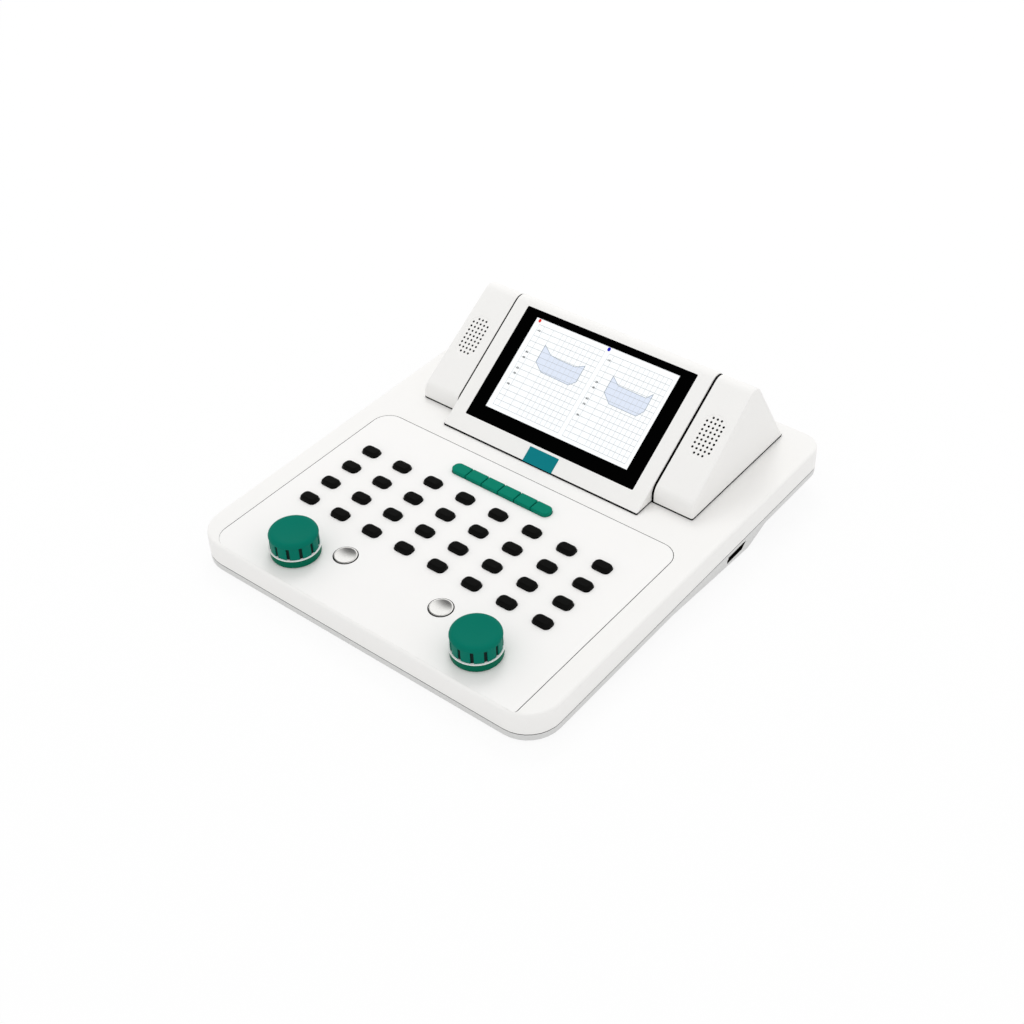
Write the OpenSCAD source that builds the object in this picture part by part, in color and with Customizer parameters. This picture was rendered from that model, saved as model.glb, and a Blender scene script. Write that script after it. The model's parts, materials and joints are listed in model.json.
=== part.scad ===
// Desktop audiometer: a low tilted case with a flush control panel, thirty-two round-ended
// keys, a strip of six function keys, two fluted level knobs and two steel tone buttons, and
// a raised display housing between two loudspeaker pods. Millimetres.
//
// The case is drawn level: top face at z = 0, front edge at y = 0, x from side to side.
// stand() then tilts it and lifts it on to its feet.

/* [Case] */
// Width of the case
case_w = 355; // [340:1:400]
// Depth of the case, front to back
case_d = 408; // [396:1:450]
// Plan radius of the two front corners
front_corner_r = 30; // [12:1:40]
// Plan radius of the two back corners
back_corner_r = 20; // [12:1:40]
// Radius along the top edge
top_edge_r = 2.5; // [1.5:0.5:4]
// Radius along the edge of the underside
rim_edge_r = 5; // [2:0.5:6]
// Height of the top shell, from the top face to the parting line
top_shell_h = 21; // [20:0.5:28]
// Height of the bottom shell's rim, below the parting line
rim_h = 7; // [6.5:0.5:12]
// Thickness of the case walls
wall = 2.5; // [2:0.1:3]
// Angle at which the case stands, back edge up
tilt = 2.5; // [0:0.5:6]

/* [Underside wedge] */
// Distance from the front edge to where the underside starts to drop
wedge_front_y = 150; // [140:1:200]
// Distance from the front edge to the wedge's lowest line
wedge_deep_y = 289; // [270:1:300]
// Distance from the front edge to the wedge's back end
wedge_back_y = 321; // [310:1:330]
// Drop of the wedge below the rim
wedge_drop = 11.5; // [8:0.5:16]
// Radius along the wedge's two lower edges
wedge_edge_r = 3; // [1:0.5:5]
// How far the wedge's side faces lie in from the rim
wedge_inset = 0.8; // [0.5:0.1:2]

/* [Feet] */
// Radius of a rubber foot
foot_r = 7; // [5:0.5:9]
// How far the front feet stand out of the underside
foot_stand = 2.25; // [1.5:0.25:4]
// Depth of the pocket that holds a foot
foot_pocket = 1; // [0.6:0.1:1.2]
// Radial clearance round a foot
foot_gap = 0.2; // [0.1:0.05:0.4]
// Distance of the feet from the case's centre line
foot_x = 152; // [100:1:155]
// Distance of the front feet from the front edge
front_foot_y = 19; // [17:1:60]
// Distance of the rear feet ahead of the wedge's lowest line
rear_foot_lead = 11; // [10:1:30]

/* [Control panel] */
// Width of the control panel
panel_w = 314; // [305:1:320]
// Thickness of the control panel
panel_t = 2.5; // [2:0.1:3]
// Corner radius of the control panel
panel_r = 16; // [6:1:24]
// Radius of its tight front right corner
panel_tight_r = 3; // [2:0.5:10]
// Gap between the panel and its recess
panel_gap = 0.3; // [0.2:0.05:0.5]
// Plain top face between the panel and the display housing
panel_to_head = 14; // [8:1:30]
// Width of the ledge under the panel's edge
ledge_w = 4; // [3:0.5:5]
// Thickness of that ledge
ledge_t = 2.5; // [2:0.1:4]

/* [Keys] */
// Columns of keys
key_cols = 8; // [8]
// Rows of keys
key_rows = 4; // [4]
// Distance between columns
key_pitch_x = 35; // [30:0.5:36]
// Distance between rows
key_pitch_y = 25.5; // [20:0.5:27]
// Width of a key
key_w = 16.2; // [14:0.2:20]
// Depth of a key, front to back
key_d = 11; // [9:0.2:13]
// Plan radius of a key's corners
key_r = 3.8; // [2:0.1:4.4]
// Height of a key above the panel
key_h = 3.6; // [2.5:0.1:5]
// Width of the bevel round a key's top
key_bevel = 1.8; // [1:0.1:2]
// Height of that bevel
key_bevel_h = 1.5; // [0.8:0.1:2]
// Gap between a button of any kind and its hole
key_gap = 0.4; // [0.3:0.05:0.6]
// Travel of every button
travel = 1.5; // [1:0.1:2]
// Distance of the key block's centre from the case's centre line, to the right
block_x = -5; // [-8:0.5:0]

/* [Function keys] */
// Number of function keys
fn_count = 6; // [6]
// Distance between function keys
fn_pitch = 17.3; // [15:0.1:19]
// Depth of the strip, front to back
fn_d = 11.5; // [9:0.5:13]
// Plan radius of the strip's ends
fn_r = 5; // [2:0.1:5.5]
// Height of the strip above the panel
fn_h = 3.5; // [2.5:0.1:5]
// Gap between neighbouring function keys
fn_split = 0.8; // [0.5:0.1:1.2]
// Width and height of the bevel round a function key's top
fn_bevel = 0.8; // [0.4:0.1:1.2]
// Distance from the panel's back edge to the strip's centre line
fn_back = 25.7; // [18:0.1:32]
// Distance from the strip's centre line to the last row of keys
fn_to_keys = 26.1; // [20:0.1:30]

/* [Tone buttons] */
// Radius of a steel tone button
tone_r = 9.7; // [8:0.1:11]
// Height of its rim above the panel
tone_h = 0.7; // [0.4:0.1:1.5]
// Width of its flat rim
tone_rim = 1.4; // [1:0.1:2.5]
// Depth of its dished centre
tone_dish = 0.5; // [0.3:0.1:0.7]
// Half the distance between the two buttons
tone_half = 50; // [40:1:60]
// Distance of the buttons from the front edge
tone_y = 53.3; // [50:0.1:60]
// Distance from the buttons to the front row of keys
tone_to_keys = 33.9; // [30:0.1:40]

/* [Button works] */
// Gap between a button's flange and what stops it
stop_gap = 0.3; // [0.2:0.05:0.4]
// How far a flange reaches past its hole
flange_over = 1; // [0.8:0.1:1.5]
// Thickness of a flange
flange_t = 1.2; // [1:0.1:1.5]
// Radius of a rubber dome on the key mat
dome_r = 2.6; // [1.5:0.1:3]
// Height of a dome
dome_h = 1.6; // [1:0.1:2]
// Radial clearance round a dome
dome_gap = 0.6; // [0.4:0.1:1]
// Thickness of the key mat
mat_t = 1; // [0.8:0.1:1.5]
// Width of the mat's raised border
mat_border = 2; // [1.5:0.1:3]
// Thickness of a circuit board
board_t = 1.6; // [1.2:0.1:2]

/* [Knobs] */
// Distance of the left knob from the case's centre line
knob_left_x = 90.4; // [80:0.1:110]
// Distance of the right knob from the case's centre line
knob_right_x = 97.4; // [80:0.1:110]
// Distance of the knobs from the front edge
knob_y = 33.2; // [28:0.1:34]
// Height of a knob above the panel
knob_h = 23; // [18:0.5:28]
// Gap under a knob
knob_under = 0.5; // [0.3:0.1:1]
// Radius of the skirt
skirt_r = 20.6; // [18:0.1:22]
// Height at which the skirt ends and the pale ring starts
skirt_h = 7.5; // [6.5:0.1:9]
// Radius of the pale ring
ring_r = 21.3; // [19:0.1:23]
// Height of the pale ring
ring_h = 1; // [0.6:0.1:2]
// Radius of the fluted band
band_r = 20.3; // [18:0.1:22]
// Radius of the crown's edge
crown_r = 3.5; // [2:0.1:5]
// Number of flutes
flutes = 12; // [8:1:24]
// Width of a flute
flute_w = 2.7; // [2:0.1:4]
// Depth of a flute
flute_cut = 1; // [0.5:0.1:1.5]
// Depth of the dish in a knob's top
knob_dish = 0.6; // [0.2:0.1:1]
// Radius of the dish
knob_dish_r = 15; // [10:0.5:16]
// Radius of a knob's spindle
spindle_r = 3; // [2.5:0.1:3.5]
// Running clearance round the spindle
spindle_fit = 0.05; // [0.02:0.01:0.1]
// Wall of the bush that the spindle turns in
bush_t = 1; // [0.8:0.1:1.5]
// Height of the bush above the panel
bush_h = 5; // [4:0.5:6]
// Gap between the bush and its hole in the panel
bush_gap = 0.1; // [0.05:0.05:0.3]
// Width of the nut that clamps the bush
nut_w = 11; // [10:0.5:13]
// Thickness of that nut
nut_t = 2; // [1.5:0.1:3]
// Clearance between the nut and the hollow in the knob
nut_gap = 1.5; // [1:0.5:3]
// Width of an encoder's body
encoder_w = 12; // [10:0.5:12.5]
// Height of an encoder's body
encoder_h = 7; // [6:0.5:9]

/* [Display housing] */
// Distance from the case's back edge to the head
head_margin = 15.2; // [10:0.1:20]
// Depth of the head at its base, front to back
head_d = 163.3; // [155:0.1:170]
// Slope of the display face from the case's top face
face_slope = 34.07; // [30:0.5:38]
// Slope of the head's back face
back_slope = 60.8; // [50:0.1:70]
// Radius along the head's crest
crest_r = 11; // [5:0.5:14]
// Half the width of the centre housing
centre_half_w = 103.2; // [100:0.1:108]
// Wall thickness of the head
head_wall = 3; // [2.4:0.1:4]
// Height of the plinth that carries the head
plinth_h = 1; // [0.8:0.1:3]
// How far the plinth lies in from the head's outside
plinth_inset = 1.5; // [1:0.1:2]
// Width of the cable opening under the centre housing
cable_w = 120; // [60:1:160]
// Depth of that opening, front to back
cable_d = 60; // [30:1:80]

/* [Display] */
// Width of the glass
glass_w = 178.2; // [172:0.1:185]
// Height of the glass, up the slope
glass_l = 111.4; // [105:0.1:114]
// Thickness of the glass
glass_t = 1.8; // [1:0.1:2]
// Corner radius of the glass
glass_r = 1; // [1:0.5:6]
// Gap round the glass
glass_gap = 0.15; // [0.1:0.05:0.3]
// Distance up the slope from the housing's base line to the glass
glass_s = 18.7; // [16:0.1:22]
// Width of the window behind the glass
window_w = 158; // [152:1:160]
// Height of that window
window_l = 96; // [92:1:98]
// Width of the display module's frame
lcd_w = 165; // [162:0.5:170]
// Height of that frame
lcd_l = 100; // [99:0.5:104]
// Thickness of the display module
lcd_t = 6.2; // [4:0.1:8]
// Distance up the slope from the housing's base line to the window's centre
lcd_s = 77.8; // [74:0.1:80]

/* [Loudspeaker pods] */
// Width of a pod
pod_w = 38.3; // [34:0.1:42]
// Gap between a pod and the centre housing
pod_gap = 1.8; // [1:0.1:4]
// How far a pod's face lies below the display face
pod_drop = 1.3; // [0.5:0.1:3]
// Distance that a pod's front stands back from the centre housing's
pod_back = 22.7; // [18:0.1:26]
// Radius where a pod's front meets its face
nose_r = 12; // [3:0.5:14]
// Width of the loudspeaker grille
grille_w = 24; // [20:0.5:25]
// Length of the grille, up the slope
grille_l = 41; // [36:0.5:44]
// Distance up the slope from the centre housing's base line to the grille's centre
grille_s = 85.3; // [80:0.1:95]
// Distance of the grille's centre from the pod's, towards the screen
grille_in = 0.2; // [0:0.1:2]
// Distance between grille holes in a row
grille_pitch = 4; // [3.5:0.1:5]
// Distance between rows of grille holes
grille_row = 4.15; // [3.6:0.05:5]
// Radius of a grille hole
grille_hole_r = 1.1; // [0.5:0.1:1.2]
// Gap between a loudspeaker's rim and the pod's side walls
speaker_gap = 1.75; // [1:0.05:3]
// Depth of a loudspeaker
speaker_h = 12; // [8:0.5:16]
// Radius of a loudspeaker's magnet
magnet_r = 8.4; // [6:0.1:9]

/* [Screws] */
// Radius of a screw's thread
screw_r = 1.5; // [1.2:0.1:2]
// Length of a screw under its head
screw_l = 10; // [7:0.5:11]
// Radius of a screw's head
screw_head_r = 2.8; // [2.5:0.1:3.2]
// Height of a screw's head
screw_head_h = 1.9; // [1.5:0.1:2.2]
// Radial clearance of a thread in its boss
screw_fit = 0.05; // [0.03:0.01:0.1]
// Radial clearance of a screw in a plain hole
screw_gap = 0.3; // [0.2:0.05:0.5]
// Wall round a screw hole in a boss
boss_t = 2.4; // [2:0.1:3]
// Distance of the case screws from the case's sides
screw_in = 9.5; // [9:0.1:11]
// Distance of the front case screws from the front edge
screw_front = 42; // [40:1:60]
// Distance of the middle case screws ahead of the wedge
screw_mid = 10; // [8:1:30]
// Distance of the back case screws from the back edge
screw_back = 23; // [20:1:40]
// How far a case screw's head is sunk into the underside
screw_sunk = 0.5; // [0.2:0.1:0.8]
// Distance of the centre housing's screws from its sides
head_screw_in = 11; // [10:0.5:16]
// Distance of its front screws from its base line
head_screw_front = 32; // [28:1:40]
// Distance of the head's back screws from its back edge
head_screw_back = 17; // [15:1:22]
// Distance of a pod's front screw from the pod's front
pod_screw_front = 20; // [12:1:30]

/* [Sockets] */
// Number of audio sockets in the back wall
jack_count = 4; // [4]
// Radius of an audio socket's bore
jack_r = 3.25; // [3:0.05:3.4]
// Depth of that bore
jack_bore = 20; // [15:1:21]
// Radius of the socket's nose
jack_nose_r = 5; // [4.5:0.1:5.2]
// Clearance of the nose in the back wall
jack_gap = 0.15; // [0.1:0.05:0.3]
// How far the nose stays behind the back wall's outer face
jack_sunk = 0.2; // [0.1:0.1:0.5]
// Width and height of a socket's body
jack_body = 11; // [10.5:0.1:12]
// Length of a socket's body
jack_body_l = 22; // [21:1:26]
// Distance between audio sockets
jack_pitch = 24; // [18:1:30]
// Distance of the first socket left of the centre line
jack_left = 96; // [80:1:110]
// Length of the side port, front to back
port_l = 26.5; // [20:0.5:30]
// Height of the side port
port_h = 7.5; // [7:0.1:8]
// Distance of the port's front end ahead of the wedge's lowest line
port_lead = 33.5; // [32:0.5:36]
// Depth of the port's top edge below the parting line
port_drop = 3.3; // [3:0.1:4]
// Size of the slant at the port's lower back corner
port_slant = 4; // [2:0.5:5]
// Depth of the port into the case
port_in = 14; // [12:0.5:16]
// Wall round the port
port_wall = 2; // [1.5:0.1:2]
// Width of the socket in the port
socket_w = 12; // [9:0.5:14]
// Height of the socket in the port
socket_h = 4.4; // [3:0.1:4.6]
// How far the socket reaches into the port
socket_out = 3; // [2:0.5:5]
// Gap round the socket
socket_gap = 0.1; // [0.05:0.05:0.2]

/* [Main board] */
// Width of the main board
main_w = 260; // [240:1:280]
// Depth of the main board, front to back
main_d = 160; // [150:1:170]
// Height of the main board's top below the case's top face
main_depth = 17.4; // [17:0.1:18]
// Gap between the main board and the back wall
main_gap = 1.5; // [1:0.1:3]
// Radius of a post under the main board
post_r = 4; // [3:0.1:5]
// Distance of the posts from the main board's side and front edges
post_in = 12; // [8:1:16]
// Distance of the back posts from the main board's back edge
post_back = 48; // [40:1:60]

/* [Hidden] */
$fn = 64;
hull_fn = 32;
key_fn = 20;
cut = 1;

// Heights in the case
base_z = -(top_shell_h + rim_h);
floor_z = base_z + wall;
flange_top_z = -(panel_t + stop_gap);
flange_z = flange_top_z - flange_t;
mat_z = flange_z - travel - stop_gap;
mat_under_z = mat_z - mat_t;
main_z = -main_depth;
jack_z = main_z + jack_body / 2;

// Places along the case
head_back_y = case_d - head_margin;
head_front_y = head_back_y - head_d;
panel_front_y = top_edge_r;
panel_back_y = head_front_y - panel_to_head;
panel_half_w = panel_w / 2;
// The rows lie as far apart as their distances say, and a panel that is longer or shorter than
// these add up to spreads them or draws them together alike, by this factor
rows_length = fn_back + fn_to_keys + (key_rows - 1) * key_pitch_y + tone_to_keys;
spread = (panel_back_y - tone_y) / rows_length;
fn_y = panel_back_y - fn_back * spread;
fn_strip_w = fn_count * fn_pitch;
last_row_y = fn_y - fn_to_keys * spread;
wedge_half_w = case_w / 2 - wedge_inset;
rear_foot_y = wedge_deep_y - rear_foot_lead;
port_y = wedge_deep_y - port_lead;
port_z = -(top_shell_h + port_drop);
port_end_x = wedge_half_w - port_in;
main_back_y = case_d - wall - main_gap;
pod_front_y = head_front_y + pod_back;
pod_in_x = centre_half_w + pod_gap;
pod_x = pod_in_x + pod_w / 2;
grille_x = pod_x - grille_in;
speaker_r = pod_w / 2 - head_wall - speaker_gap;
head_half_w = pod_in_x + pod_w;

// Sizes shared by pieces that meet
flange_w = 2 * (key_gap + flange_over);
bush_r = spindle_r + spindle_fit + bush_t;
boss_r = screw_r + screw_fit + boss_t;
tone_flange_r = tone_r + key_gap + flange_over;
screw_seat_z = base_z + screw_head_h + screw_sunk;
mat_left_x = key_x(0) - (key_w + flange_w) / 2 - stop_gap - mat_border;
mat_right_x = key_x(key_cols - 1) + (key_w + flange_w) / 2 + stop_gap + mat_border;
mat_front_y = tone_y - tone_flange_r - stop_gap - mat_border;
mat_back_y = fn_y + (fn_d + flange_w) / 2 + stop_gap + mat_border;

// Height of the underside at a distance y from the front edge
function under_z(y) =
    y <= wedge_front_y || y >= wedge_back_y ? base_z
    : y <= wedge_deep_y
        ? base_z - wedge_drop * (y - wedge_front_y) / (wedge_deep_y - wedge_front_y)
        : base_z - wedge_drop * (wedge_back_y - y) / (wedge_back_y - wedge_deep_y);

// The case stands with its front feet foot_stand tall and its box centred on the origin
lift = foot_stand - front_foot_y * sin(tilt) - under_z(front_foot_y) * cos(tilt);
front_reach = top_edge_r * (cos(tilt) + sin(tilt) - 1);
back_reach = (case_d - rim_edge_r) * cos(tilt) - (base_z + rim_edge_r) * sin(tilt) + rim_edge_r;
shift_y = -(front_reach + back_reach) / 2;
function stood_y(y, z) = shift_y + y * cos(tilt) - z * sin(tilt);
function stood_z(y, z) = lift + y * sin(tilt) + z * cos(tilt);

// Places of the repeated pieces
function key_x(col) = block_x + (col - (key_cols - 1) / 2) * key_pitch_x;
function key_y(row) = last_row_y - row * key_pitch_y * spread;
function fn_x(i) = block_x + (i - (fn_count - 1) / 2) * fn_pitch;
function key_name(row, col) = str("key_r", row + 1, "_c", col + 1);
function fn_name(i) = str("function_key_", i + 1);
tone_x = [block_x - tone_half, block_x + tone_half];
knob_x = [-knob_left_x, knob_right_x];
jack_x = [for (i = [0 : jack_count - 1]) i * jack_pitch - jack_left];
case_screws_y = [screw_front, wedge_front_y - screw_mid, case_d - screw_back];
head_screws = [for (side = [-1, 1]) each [
    [side * (centre_half_w - head_screw_in), head_front_y + head_screw_front],
    [side * (centre_half_w - head_screw_in), head_back_y - head_screw_back],
    [side * pod_x, pod_front_y + pod_screw_front],
    [side * pod_x, head_back_y - head_screw_back]]];

// Tilts the level case and lifts it on to its feet
module stand() {
    translate([0, shift_y, lift])
        rotate([tilt, 0, 0])
            children();
}

// A rectangle with round corners
module rounded_rect(w, d, r) {
    square([w - 2 * r, d], center = true);
    square([w, d - 2 * r], center = true);
    for (x = [-1, 1], y = [-1, 1])
        translate([x * (w / 2 - r), y * (d / 2 - r)])
            circle(r);
}

// A solid whose section is drawn in y and z, centred across the case
module across(w) {
    rotate([90, 0, 90])
        translate([0, 0, -w / 2])
            linear_extrude(w)
                children();
}

// ---- Case ----

// A disc with one rounded edge, at its top
module edge_disc(r, h, edge_r) {
    rotate_extrude($fn = hull_fn) {
        square([r, h - edge_r]);
        square([r - edge_r, h]);
        translate([r - edge_r, h - edge_r])
            intersection() {
                circle(edge_r, $fn = hull_fn);
                square(edge_r);
            }
    }
}

// The case's plan as a slab with a rounded top edge
module case_slab(h, edge_r) {
    hull()
        for (side = [-1, 1]) {
            translate([side * (case_w / 2 - front_corner_r), front_corner_r, 0])
                edge_disc(front_corner_r, h, edge_r);
            translate([side * (case_w / 2 - back_corner_r), case_d - back_corner_r, 0])
                edge_disc(back_corner_r, h, edge_r);
        }
}

// The case's plan, drawn in by inset
module case_plan(inset) {
    hull()
        for (side = [-1, 1]) {
            translate([side * (case_w / 2 - front_corner_r), front_corner_r])
                circle(front_corner_r - inset);
            translate([side * (case_w / 2 - back_corner_r), case_d - back_corner_r])
                circle(back_corner_r - inset);
        }
}

// The control panel's plan, drawn in by inset
module panel_plan(inset) {
    soft = max(panel_r - inset, cut);
    tight = max(panel_tight_r - inset, cut);
    hull() {
        for (side = [-1, 1])
            translate([side * (panel_half_w - inset - soft), panel_back_y - inset - soft])
                circle(soft);
        translate([-(panel_half_w - inset - soft), panel_front_y + inset + soft])
            circle(soft);
        translate([panel_half_w - inset - tight, panel_front_y + inset + tight])
            circle(tight);
    }
}

// One copy of the children at each case screw
module case_screw_places() {
    for (side = [-1, 1], y = case_screws_y)
        translate([side * (case_w / 2 - screw_in), y, 0])
            children();
}

// One copy of the children at each screw of the head
module head_screw_places() {
    for (place = head_screws)
        translate([place[0], place[1], 0])
            children();
}

// One copy of the children at each audio socket, facing back
module jack_places() {
    for (x = jack_x)
        translate([x, case_d, jack_z])
            rotate([-90, 0, 0])
                children();
}

// The plinth that the centre housing and the pods stand on
module plinth() {
    front = face_y(0, plinth_h) + plinth_inset;
    pod_front = pod_front_y + plinth_inset;
    back = back_y(0, plinth_h) - plinth_inset;
    centre = centre_half_w - plinth_inset;
    side = head_half_w - plinth_inset;
    translate([-centre, front, -cut])
        cube([2 * centre, back - front, plinth_h + cut]);
    translate([-side, pod_front, -cut])
        cube([2 * side, back - pod_front, plinth_h + cut]);
}

module top_shell() {
    color("whitesmoke")
        stand()
            difference() {
                union() {
                    difference() {
                        translate([0, 0, -top_shell_h])
                            case_slab(top_shell_h, top_edge_r);
                        translate([0, 0, -top_shell_h - cut])
                            linear_extrude(top_shell_h - wall + cut)
                                case_plan(wall);
                    }
                    translate([0, 0, -panel_t - ledge_t])
                        linear_extrude(ledge_t)
                            intersection() {
                                panel_plan(-ledge_w);
                                case_plan(wall / 2);
                            }
                    plinth();
                    case_screw_places()
                        translate([0, 0, -top_shell_h])
                            cylinder(r = boss_r, h = top_shell_h - wall / 2);
                }
                translate([0, 0, -panel_t])
                    linear_extrude(panel_t + cut)
                        panel_plan(-panel_gap);
                translate([0, 0, -panel_t - ledge_t - cut])
                    linear_extrude(ledge_t + 2 * cut)
                        panel_plan(ledge_w);
                translate([-cable_w / 2, (head_front_y + head_back_y - cable_d) / 2, -wall - cut])
                    cube([cable_w, cable_d, wall + plinth_h + 2 * cut]);
                case_screw_places()
                    translate([0, 0, -top_shell_h - cut])
                        cylinder(r = screw_r + screw_fit, h = screw_l + 2 * cut);
                head_screw_places()
                    translate([0, 0, -wall - cut])
                        cylinder(r = screw_r + screw_gap, h = wall + plinth_h + 2 * cut);
                jack_places()
                    translate([0, 0, -wall - cut])
                        cylinder(r = jack_nose_r + jack_gap, h = wall + 2 * cut);
            }
}

// The wedge's outline seen from the side, its walls drawn in by inset
module wedge_side(inset) {
    polygon([
        [wedge_front_y + inset, base_z + inset],
        [wedge_deep_y, base_z - wedge_drop + inset],
        [wedge_back_y - inset, base_z + inset],
        [wedge_back_y - inset, -top_shell_h - wall],
        [wedge_front_y + inset, -top_shell_h - wall]]);
}

// The wedge with its lower edges rounded
module wedge() {
    hull()
        for (a = [0 : 15 : 90])
            translate([0, 0, wedge_edge_r * (1 - sin(a))])
                across(2 * (wedge_half_w - wedge_edge_r * (1 - cos(a))))
                    intersection() {
                        wedge_side(0);
                        translate([0, base_z - wedge_drop])
                            square([case_d, wedge_drop + rim_h - wall - wedge_edge_r]);
                    }
}

// The side port's outline seen from the side, grown by grow
module port_side(grow) {
    polygon([
        [port_y - grow, port_z + grow],
        [port_y + port_l + grow, port_z + grow],
        [port_y + port_l + grow, port_z - port_h + port_slant],
        [port_y + port_l - port_slant, port_z - port_h - grow],
        [port_y - grow, port_z - port_h - grow]]);
}

module bottom_shell() {
    color("gainsboro")
        difference() {
            stand()
                difference() {
                    union() {
                        difference() {
                            union() {
                                translate([0, 0, -top_shell_h])
                                    mirror([0, 0, 1])
                                        case_slab(rim_h, rim_edge_r);
                                wedge();
                            }
                            translate([0, 0, floor_z])
                                linear_extrude(rim_h)
                                    case_plan(wall);
                            across(2 * (wedge_half_w - wall))
                                wedge_side(wall);
                        }
                        translate([port_end_x - port_wall, 0, 0])
                            rotate([90, 0, 90])
                                linear_extrude(port_in + port_wall - wall / 2)
                                    port_side(port_wall);
                        case_screw_places()
                            translate([0, 0, base_z + wall / 2])
                                cylinder(r = boss_r + screw_gap, h = rim_h - wall / 2);
                        main_posts()
                            cylinder(r = post_r, h = main_z - board_t - $post_z);
                    }
                    translate([port_end_x, 0, 0])
                        rotate([90, 0, 90])
                            linear_extrude(port_in + wall)
                                port_side(0);
                    socket_place()
                        cube([3 * port_wall, socket_w + 2 * socket_gap, socket_h + 2 * socket_gap],
                             center = true);
                    case_screw_places() {
                        translate([0, 0, base_z - cut])
                            cylinder(r = screw_r + screw_gap, h = rim_h + 2 * cut);
                        translate([0, 0, base_z - cut])
                            cylinder(r = screw_head_r + screw_gap, h = screw_seat_z - base_z + cut);
                    }
                    main_posts()
                        translate([0, 0, 2 * wall])
                            cylinder(r = screw_r + screw_fit, h = case_d);
                }
            foot_cylinders(foot_r + foot_gap, -cut);
        }
}

// One vertical cylinder at each foot, from the height bottom up to its pocket's end
module foot_cylinders(r, bottom) {
    for (side = [-1, 1], y = [front_foot_y, rear_foot_y])
        translate([side * foot_x, stood_y(y, under_z(y)), bottom])
            cylinder(r = r, h = stood_z(y, under_z(y)) + foot_pocket - bottom);
}

module rubber_feet() {
    color("dimgray")
        foot_cylinders(foot_r, 0);
}

// A pan-head screw, its head's inner face at z = 0 and its thread upward
module screw() {
    translate([0, 0, -screw_head_h])
        cylinder(r = screw_head_r, h = screw_head_h);
    cylinder(r = screw_r, h = screw_l);
}

module case_screws() {
    color("silver")
        stand() {
            case_screw_places()
                translate([0, 0, screw_seat_z])
                    screw();
            head_screw_places()
                translate([0, 0, -wall])
                    screw();
        }
}

// ---- Control panel ----

// One copy of the children at each key
module key_places() {
    for (row = [0 : key_rows - 1], col = [0 : key_cols - 1])
        translate([key_x(col), key_y(row), 0])
            children();
}

// One copy of the children at each function key
module fn_places() {
    for (i = [0 : fn_count - 1])
        translate([fn_x(i), fn_y, 0])
            children();
}

// One copy of the children at each tone button
module tone_places() {
    for (x = tone_x)
        translate([x, tone_y, 0])
            children();
}

// One copy of the children at each knob
module knob_places() {
    for (x = knob_x)
        translate([x, knob_y, 0])
            children();
}

module control_panel() {
    color("white")
        stand()
            difference() {
                translate([0, 0, -panel_t])
                    linear_extrude(panel_t)
                        panel_plan(0);
                translate([0, 0, -panel_t - cut]) {
                    key_places()
                        linear_extrude(panel_t + 2 * cut)
                            rounded_rect(key_w + 2 * key_gap, key_d + 2 * key_gap, key_r + key_gap);
                    translate([block_x, fn_y, 0])
                        linear_extrude(panel_t + 2 * cut)
                            rounded_rect(fn_strip_w - fn_split + 2 * key_gap, fn_d + 2 * key_gap,
                                         fn_r + key_gap);
                    tone_places()
                        cylinder(r = tone_r + key_gap, h = panel_t + 2 * cut);
                    knob_places()
                        cylinder(r = bush_r + bush_gap, h = panel_t + 2 * cut);
                }
            }
}

// The hollow under a button that a rubber dome pushes into
module dome_hollow() {
    translate([0, 0, flange_z - cut])
        cylinder(r = dome_r + dome_gap, h = dome_h + cut);
}

module key_cap(row, col) {
    color("black")
        stand()
            translate([key_x(col), key_y(row), 0])
                difference() {
                    union() {
                        hull() {
                            translate([0, 0, flange_top_z - flange_t / 2])
                                linear_extrude(key_h - key_bevel_h - flange_top_z + flange_t / 2)
                                    rounded_rect(key_w, key_d, key_r, $fn = key_fn);
                            linear_extrude(key_h)
                                rounded_rect(key_w - 2 * key_bevel, key_d - 2 * key_bevel,
                                             key_r - key_bevel / 2, $fn = key_fn);
                        }
                        translate([0, 0, flange_z])
                            linear_extrude(flange_t)
                                square([key_w + flange_w, key_d + flange_w], center = true);
                    }
                    dome_hollow();
                }
}

// The plan of one function key, a slice of the strip, drawn in by inset
module fn_plan(i, inset) {
    intersection() {
        translate([-fn_x(i), 0])
            translate([block_x, 0])
                rounded_rect(fn_strip_w - fn_split - 2 * inset, fn_d - 2 * inset, fn_r - inset,
                             $fn = hull_fn);
        square([fn_pitch - fn_split - 2 * inset, fn_d], center = true);
    }
}

module function_key(i) {
    color("teal")
        stand()
            translate([fn_x(i), fn_y, 0])
                difference() {
                    union() {
                        hull() {
                            translate([0, 0, flange_top_z - flange_t / 2])
                                linear_extrude(fn_h - fn_bevel - flange_top_z + flange_t / 2)
                                    fn_plan(i, 0);
                            linear_extrude(fn_h)
                                fn_plan(i, fn_bevel);
                        }
                        translate([0, 0, flange_z])
                            linear_extrude(flange_t)
                                square([fn_pitch - fn_split, fn_d + flange_w], center = true);
                    }
                    dome_hollow();
                }
}

module tone_button(x) {
    dish_r = tone_r - tone_rim;
    ball_r = (dish_r * dish_r + tone_dish * tone_dish) / (2 * tone_dish);
    color("silver")
        stand()
            translate([x, tone_y, 0])
                difference() {
                    union() {
                        translate([0, 0, flange_z])
                            cylinder(r = tone_flange_r, h = flange_t);
                        translate([0, 0, flange_z])
                            cylinder(r = tone_r, h = tone_h - flange_z);
                    }
                    translate([0, 0, tone_h - tone_dish + ball_r])
                        sphere(ball_r);
                    dome_hollow();
                }
}

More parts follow.
